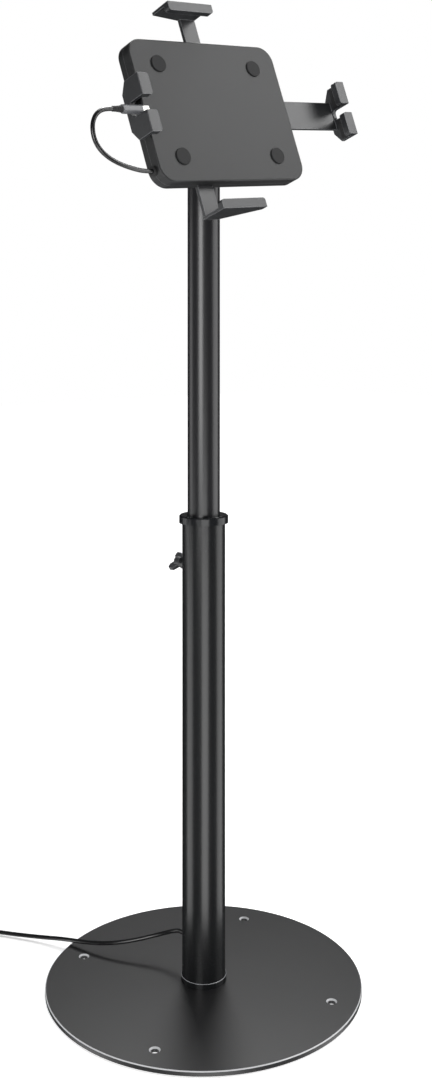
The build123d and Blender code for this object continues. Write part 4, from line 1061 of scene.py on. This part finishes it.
@dataclass
class Studio:
    """Plain pale floor, soft lights and the camera.

    Attributes:
        lens: focal length for a 36 mm long side, in millimetres.
        sensor: long side of the camera's frame, in millimetres.
        camera_at: where the camera stands, in metres.
        camera_turn: its heading, in degrees.
        rise: vertical shift of the level camera's frame.
        floor_size: side of the floor, in metres.
        floor_drop: how far it lies under the stand, in metres.
        near_glow: distances from the column between which the floor's glow comes up.
        near_level: its glow up to the first of them, where the stand's shadow shows.
        lead_at: where the lead lies on the floor, in metres; its soft shadow shows round there.
        lead_glow: distances from there between which the glow comes up.
        lead_level: its glow up to the first of them.
        hole_reach: radius in which the floor glows in full, for what the base's holes show.
        flag_radius: radius of the dark surround that gloss sees, in metres.
        flag_low: its lower edge.
        flag_high: its upper edge.
        flag_sides: faces round it.
        sky_light: the surround's level as a light; it is white where it is seen.
        strips: the tall lights; the low ones are what the lower tube mirrors, the high ones the
            rest.
        top_at: where the overhead light hangs, in metres.
        top_axis: the way from the spot that it faces to it.
        top_size: its side, in metres.
        top_radiance: how bright its face is.
    """

    lens: float = 42.995
    sensor: float = 36.0
    camera_at: tuple[float, float, float] = (-0.8835, -1.0789, 0.7346)
    camera_turn: float = -39.86
    rise: float = -0.2184
    floor_size: float = 14.0
    floor_drop: float = 0.0002
    near_glow: tuple[float, float] = (0.25, 1.1)
    near_level: float = 0.66
    lead_at: tuple[float, float, float] = (-0.12, 0.24, 0.0)
    lead_glow: tuple[float, float] = (0.10, 0.30)
    lead_level: float = 0.30
    hole_reach: float = 0.166
    flag_radius: float = 3.2
    flag_low: float = -2.4
    flag_high: float = 4.6
    flag_sides: int = 64
    sky_light: float = 0.20
    strips: tuple[Strip, ...] = (
        # Name, bearing, distance, width, low, high and radiance.
        Strip("left_low", -80.0, 2.0, 1.30, -1.70, 0.10, 2.3),
        Strip("front_low", 7.0, 2.3, 1.40, -1.70, 0.20, 3.6),
        Strip("right_low", 95.0, 2.0, 1.45, -1.70, 0.12, 2.0),
        Strip("left_high", -101.0, 2.0, 1.00, 0.12, 0.95, 1.4),
        Strip("front_high", -21.0, 2.3, 1.05, 0.26, 1.60, 6.4),
        Strip("right_high", 93.0, 2.0, 1.80, 0.12, 1.60, 1.9),
        Strip("right_top", 88.0, 2.0, 1.30, 1.80, 3.20, 5.5),
        Strip("back_window", 177.0, 2.4, 1.30, 2.10, 4.20, 9.6),
    )
    top_at: tuple[float, float, float] = (0.5, 0.35, 3.0)
    top_axis: tuple[float, float, float] = (0.5, 0.35, 2.9)
    top_size: float = 1.3
    top_radiance: float = 7.0

    def build_camera(self) -> None:
        """Stand the level camera where the photograph was taken from."""
        data = bpy.data.cameras.new("camera")
        data.sensor_fit = "VERTICAL"
        data.sensor_width = self.sensor
        data.sensor_height = self.sensor
        data.lens = self.lens
        data.shift_y = self.rise
        data.clip_start = 0.05
        data.clip_end = 60.0
        camera = add_object("camera", data)
        camera.location = self.camera_at
        camera.rotation_euler = (math.radians(90), 0, math.radians(self.camera_turn))
        bpy.context.scene.camera = camera

    def build_floor(self) -> None:
        """White floor that keeps the stand's shadow."""
        half = self.floor_size / 2
        shape = bmesh.new()
        shape.faces.new([shape.verts.new((half * x, half * y, 0)) for x, y in FLOOR_CORNERS])
        floor = add_object("studio_floor", tidy_mesh("studio_floor", shape, smooth=False))
        floor.location.z = -self.floor_drop
        material, tree = empty_material("seamless_white_paper")
        place = add_node(tree, "ShaderNodeNewGeometry").outputs["Position"]
        off_column = add_node(
            tree, "ShaderNodeVectorMath", {0: place}, operation="LENGTH"
        ).outputs["Value"]
        off_lead = add_node(
            tree, "ShaderNodeVectorMath", {0: place, 1: self.lead_at}, operation="DISTANCE"
        ).outputs["Value"]
        near, lead = (
            add_node(
                tree,
                "ShaderNodeMapRange",
                {"Value": away, "From Min": start, "From Max": end, "To Min": low},
            ).outputs["Result"]
            for away, (start, end), low in (
                (off_column, self.near_glow, self.near_level),
                (off_lead, self.lead_glow, self.lead_level),
            )
        )
        inputs = {0: off_column, 1: self.hole_reach}
        under_base = add_node(tree, "ShaderNodeMath", inputs, operation="LESS_THAN").outputs[0]
        level = near
        for operation, term in (
            ("MINIMUM", lead),
            ("MAXIMUM", under_base),
            ("MULTIPLY", self.seen_ray(tree)),
        ):
            inputs = {0: level, 1: term}
            level = add_node(tree, "ShaderNodeMath", inputs, operation=operation).outputs[0]
        paper = add_node(tree, "ShaderNodeBsdfDiffuse", {"Color": srgb("#e6e6e6")})
        glow = add_node(
            tree, "ShaderNodeEmission", {"Color": srgb("#ffffff"), "Strength": level}
        )
        both = add_node(tree, "ShaderNodeAddShader", {0: paper.outputs[0], 1: glow.outputs[0]})
        add_node(tree, "ShaderNodeOutputMaterial", {"Surface": both.outputs[0]})
        floor.data.materials.append(material)
        floor.visible_glossy = False
        floor.visible_shadow = False

    def build_flag(self) -> None:
        """Dark cloth wall and ceiling, seen by gloss alone, that keep the black finishes deep."""
        shape = bmesh.new()
        around = circle(self.flag_radius, self.flag_sides)
        low, high = (
            [shape.verts.new((x, y, height)) for x, y in around]
            for height in (self.flag_low, self.flag_high)
        )
        for i in range(self.flag_sides):
            j = (i + 1) % self.flag_sides
            shape.faces.new((low[i], low[j], high[j], high[i]))
        shape.faces.new(high)
        flag = add_object("studio_flag", tidy_mesh("studio_flag", shape))
        material, tree = empty_material("black_flag_cloth")
        cloth = add_node(tree, "ShaderNodeEmission", {"Color": srgb("#2c2c2c"), "Strength": 1.0})
        add_node(tree, "ShaderNodeOutputMaterial", {"Surface": cloth.outputs[0]})
        flag.data.materials.append(material)
        flag.visible_camera = False
        flag.visible_diffuse = False
        flag.visible_transmission = False
        flag.visible_shadow = False

    def seen_ray(self, tree: bpy.types.NodeTree) -> bpy.types.NodeSocket:
        """One where the background is looked at, straight on, by gloss or through glass.

        Args:
            tree: the tree that it goes into.

        Returns:
            A socket with 0 or 1.
        """
        ray = add_node(tree, "ShaderNodeLightPath").outputs
        seen = ray["Is Camera Ray"]
        for kind in ("Is Glossy Ray", "Is Transmission Ray"):
            inputs = {0: seen, 1: ray[kind]}
            seen = add_node(tree, "ShaderNodeMath", inputs, operation="MAXIMUM").outputs[0]
        return seen

    def build_world(self) -> None:
        """White surround where it is seen, and a dimmer one that lights the stand."""
        world = bpy.data.worlds.new("white_surround")
        bpy.context.scene.world = world
        world.use_nodes = True
        tree = world.node_tree
        tree.nodes.clear()
        level = add_node(
            tree,
            "ShaderNodeMapRange",
            {"Value": self.seen_ray(tree), "To Min": self.sky_light},
        )
        sky = add_node(
            tree,
            "ShaderNodeBackground",
            {"Color": srgb("#ffffff"), "Strength": level.outputs["Result"]},
        )
        add_node(tree, "ShaderNodeOutputWorld", {"Surface": sky.outputs[0]})

    def add_panel(
        self, name: str, width: float, height: float, radiance: float
    ) -> bpy.types.Object:
        """Make one soft panel light, facing down until it is turned.

        Args:
            name: the light's name.
            width: its width in metres.
            height: its height in metres.
            radiance: how bright its face is, where 1 is white.

        Returns:
            The light's object.
        """
        data = bpy.data.lights.new(name, "AREA")
        data.shape = "RECTANGLE"
        data.size = width
        data.size_y = height
        data.energy = radiance * math.pi * width * height
        return add_object(name, data)

    def build_lights(self) -> None:
        """The tall strips for the light bands on the tubes, and a soft light overhead."""
        camera = math.atan2(self.camera_at[1], self.camera_at[0])
        for strip in self.strips:
            facing = camera + math.radians(strip.bearing)
            light = self.add_panel(strip.name, strip.width, strip.high - strip.low, strip.radiance)
            x, y = strip.distance * math.cos(facing), strip.distance * math.sin(facing)
            light.location = (x, y, (strip.low + strip.high) / 2)
            light.rotation_euler = (math.radians(90), 0, facing + math.radians(90))
        overhead = self.add_panel("overhead", self.top_size, self.top_size, self.top_radiance)
        overhead.location = self.top_at
        overhead.rotation_euler = Vector(self.top_axis).to_track_quat("Z", "Y").to_euler()

    def build(self) -> None:
        """Build the whole studio."""
        self.build_camera()
        self.build_floor()
        self.build_flag()
        self.build_world()
        self.build_lights()
        bpy.context.scene.view_settings.view_transform = "Standard"
        log.info("studio is set")


def write_sizes() -> None:
    """Bring the scene's placements up to date."""
    bpy.context.view_layer.update()


def main() -> None:
    """Dress the stand and set the studio."""
    logging.basicConfig(level=logging.INFO, format="%(name)s: %(message)s")
    dress_frame_nodes()
    ChargeLoop().build()
    FloorLead().build()
    Studio().build()
    write_sizes()


if __name__ == "__main__":
    main()
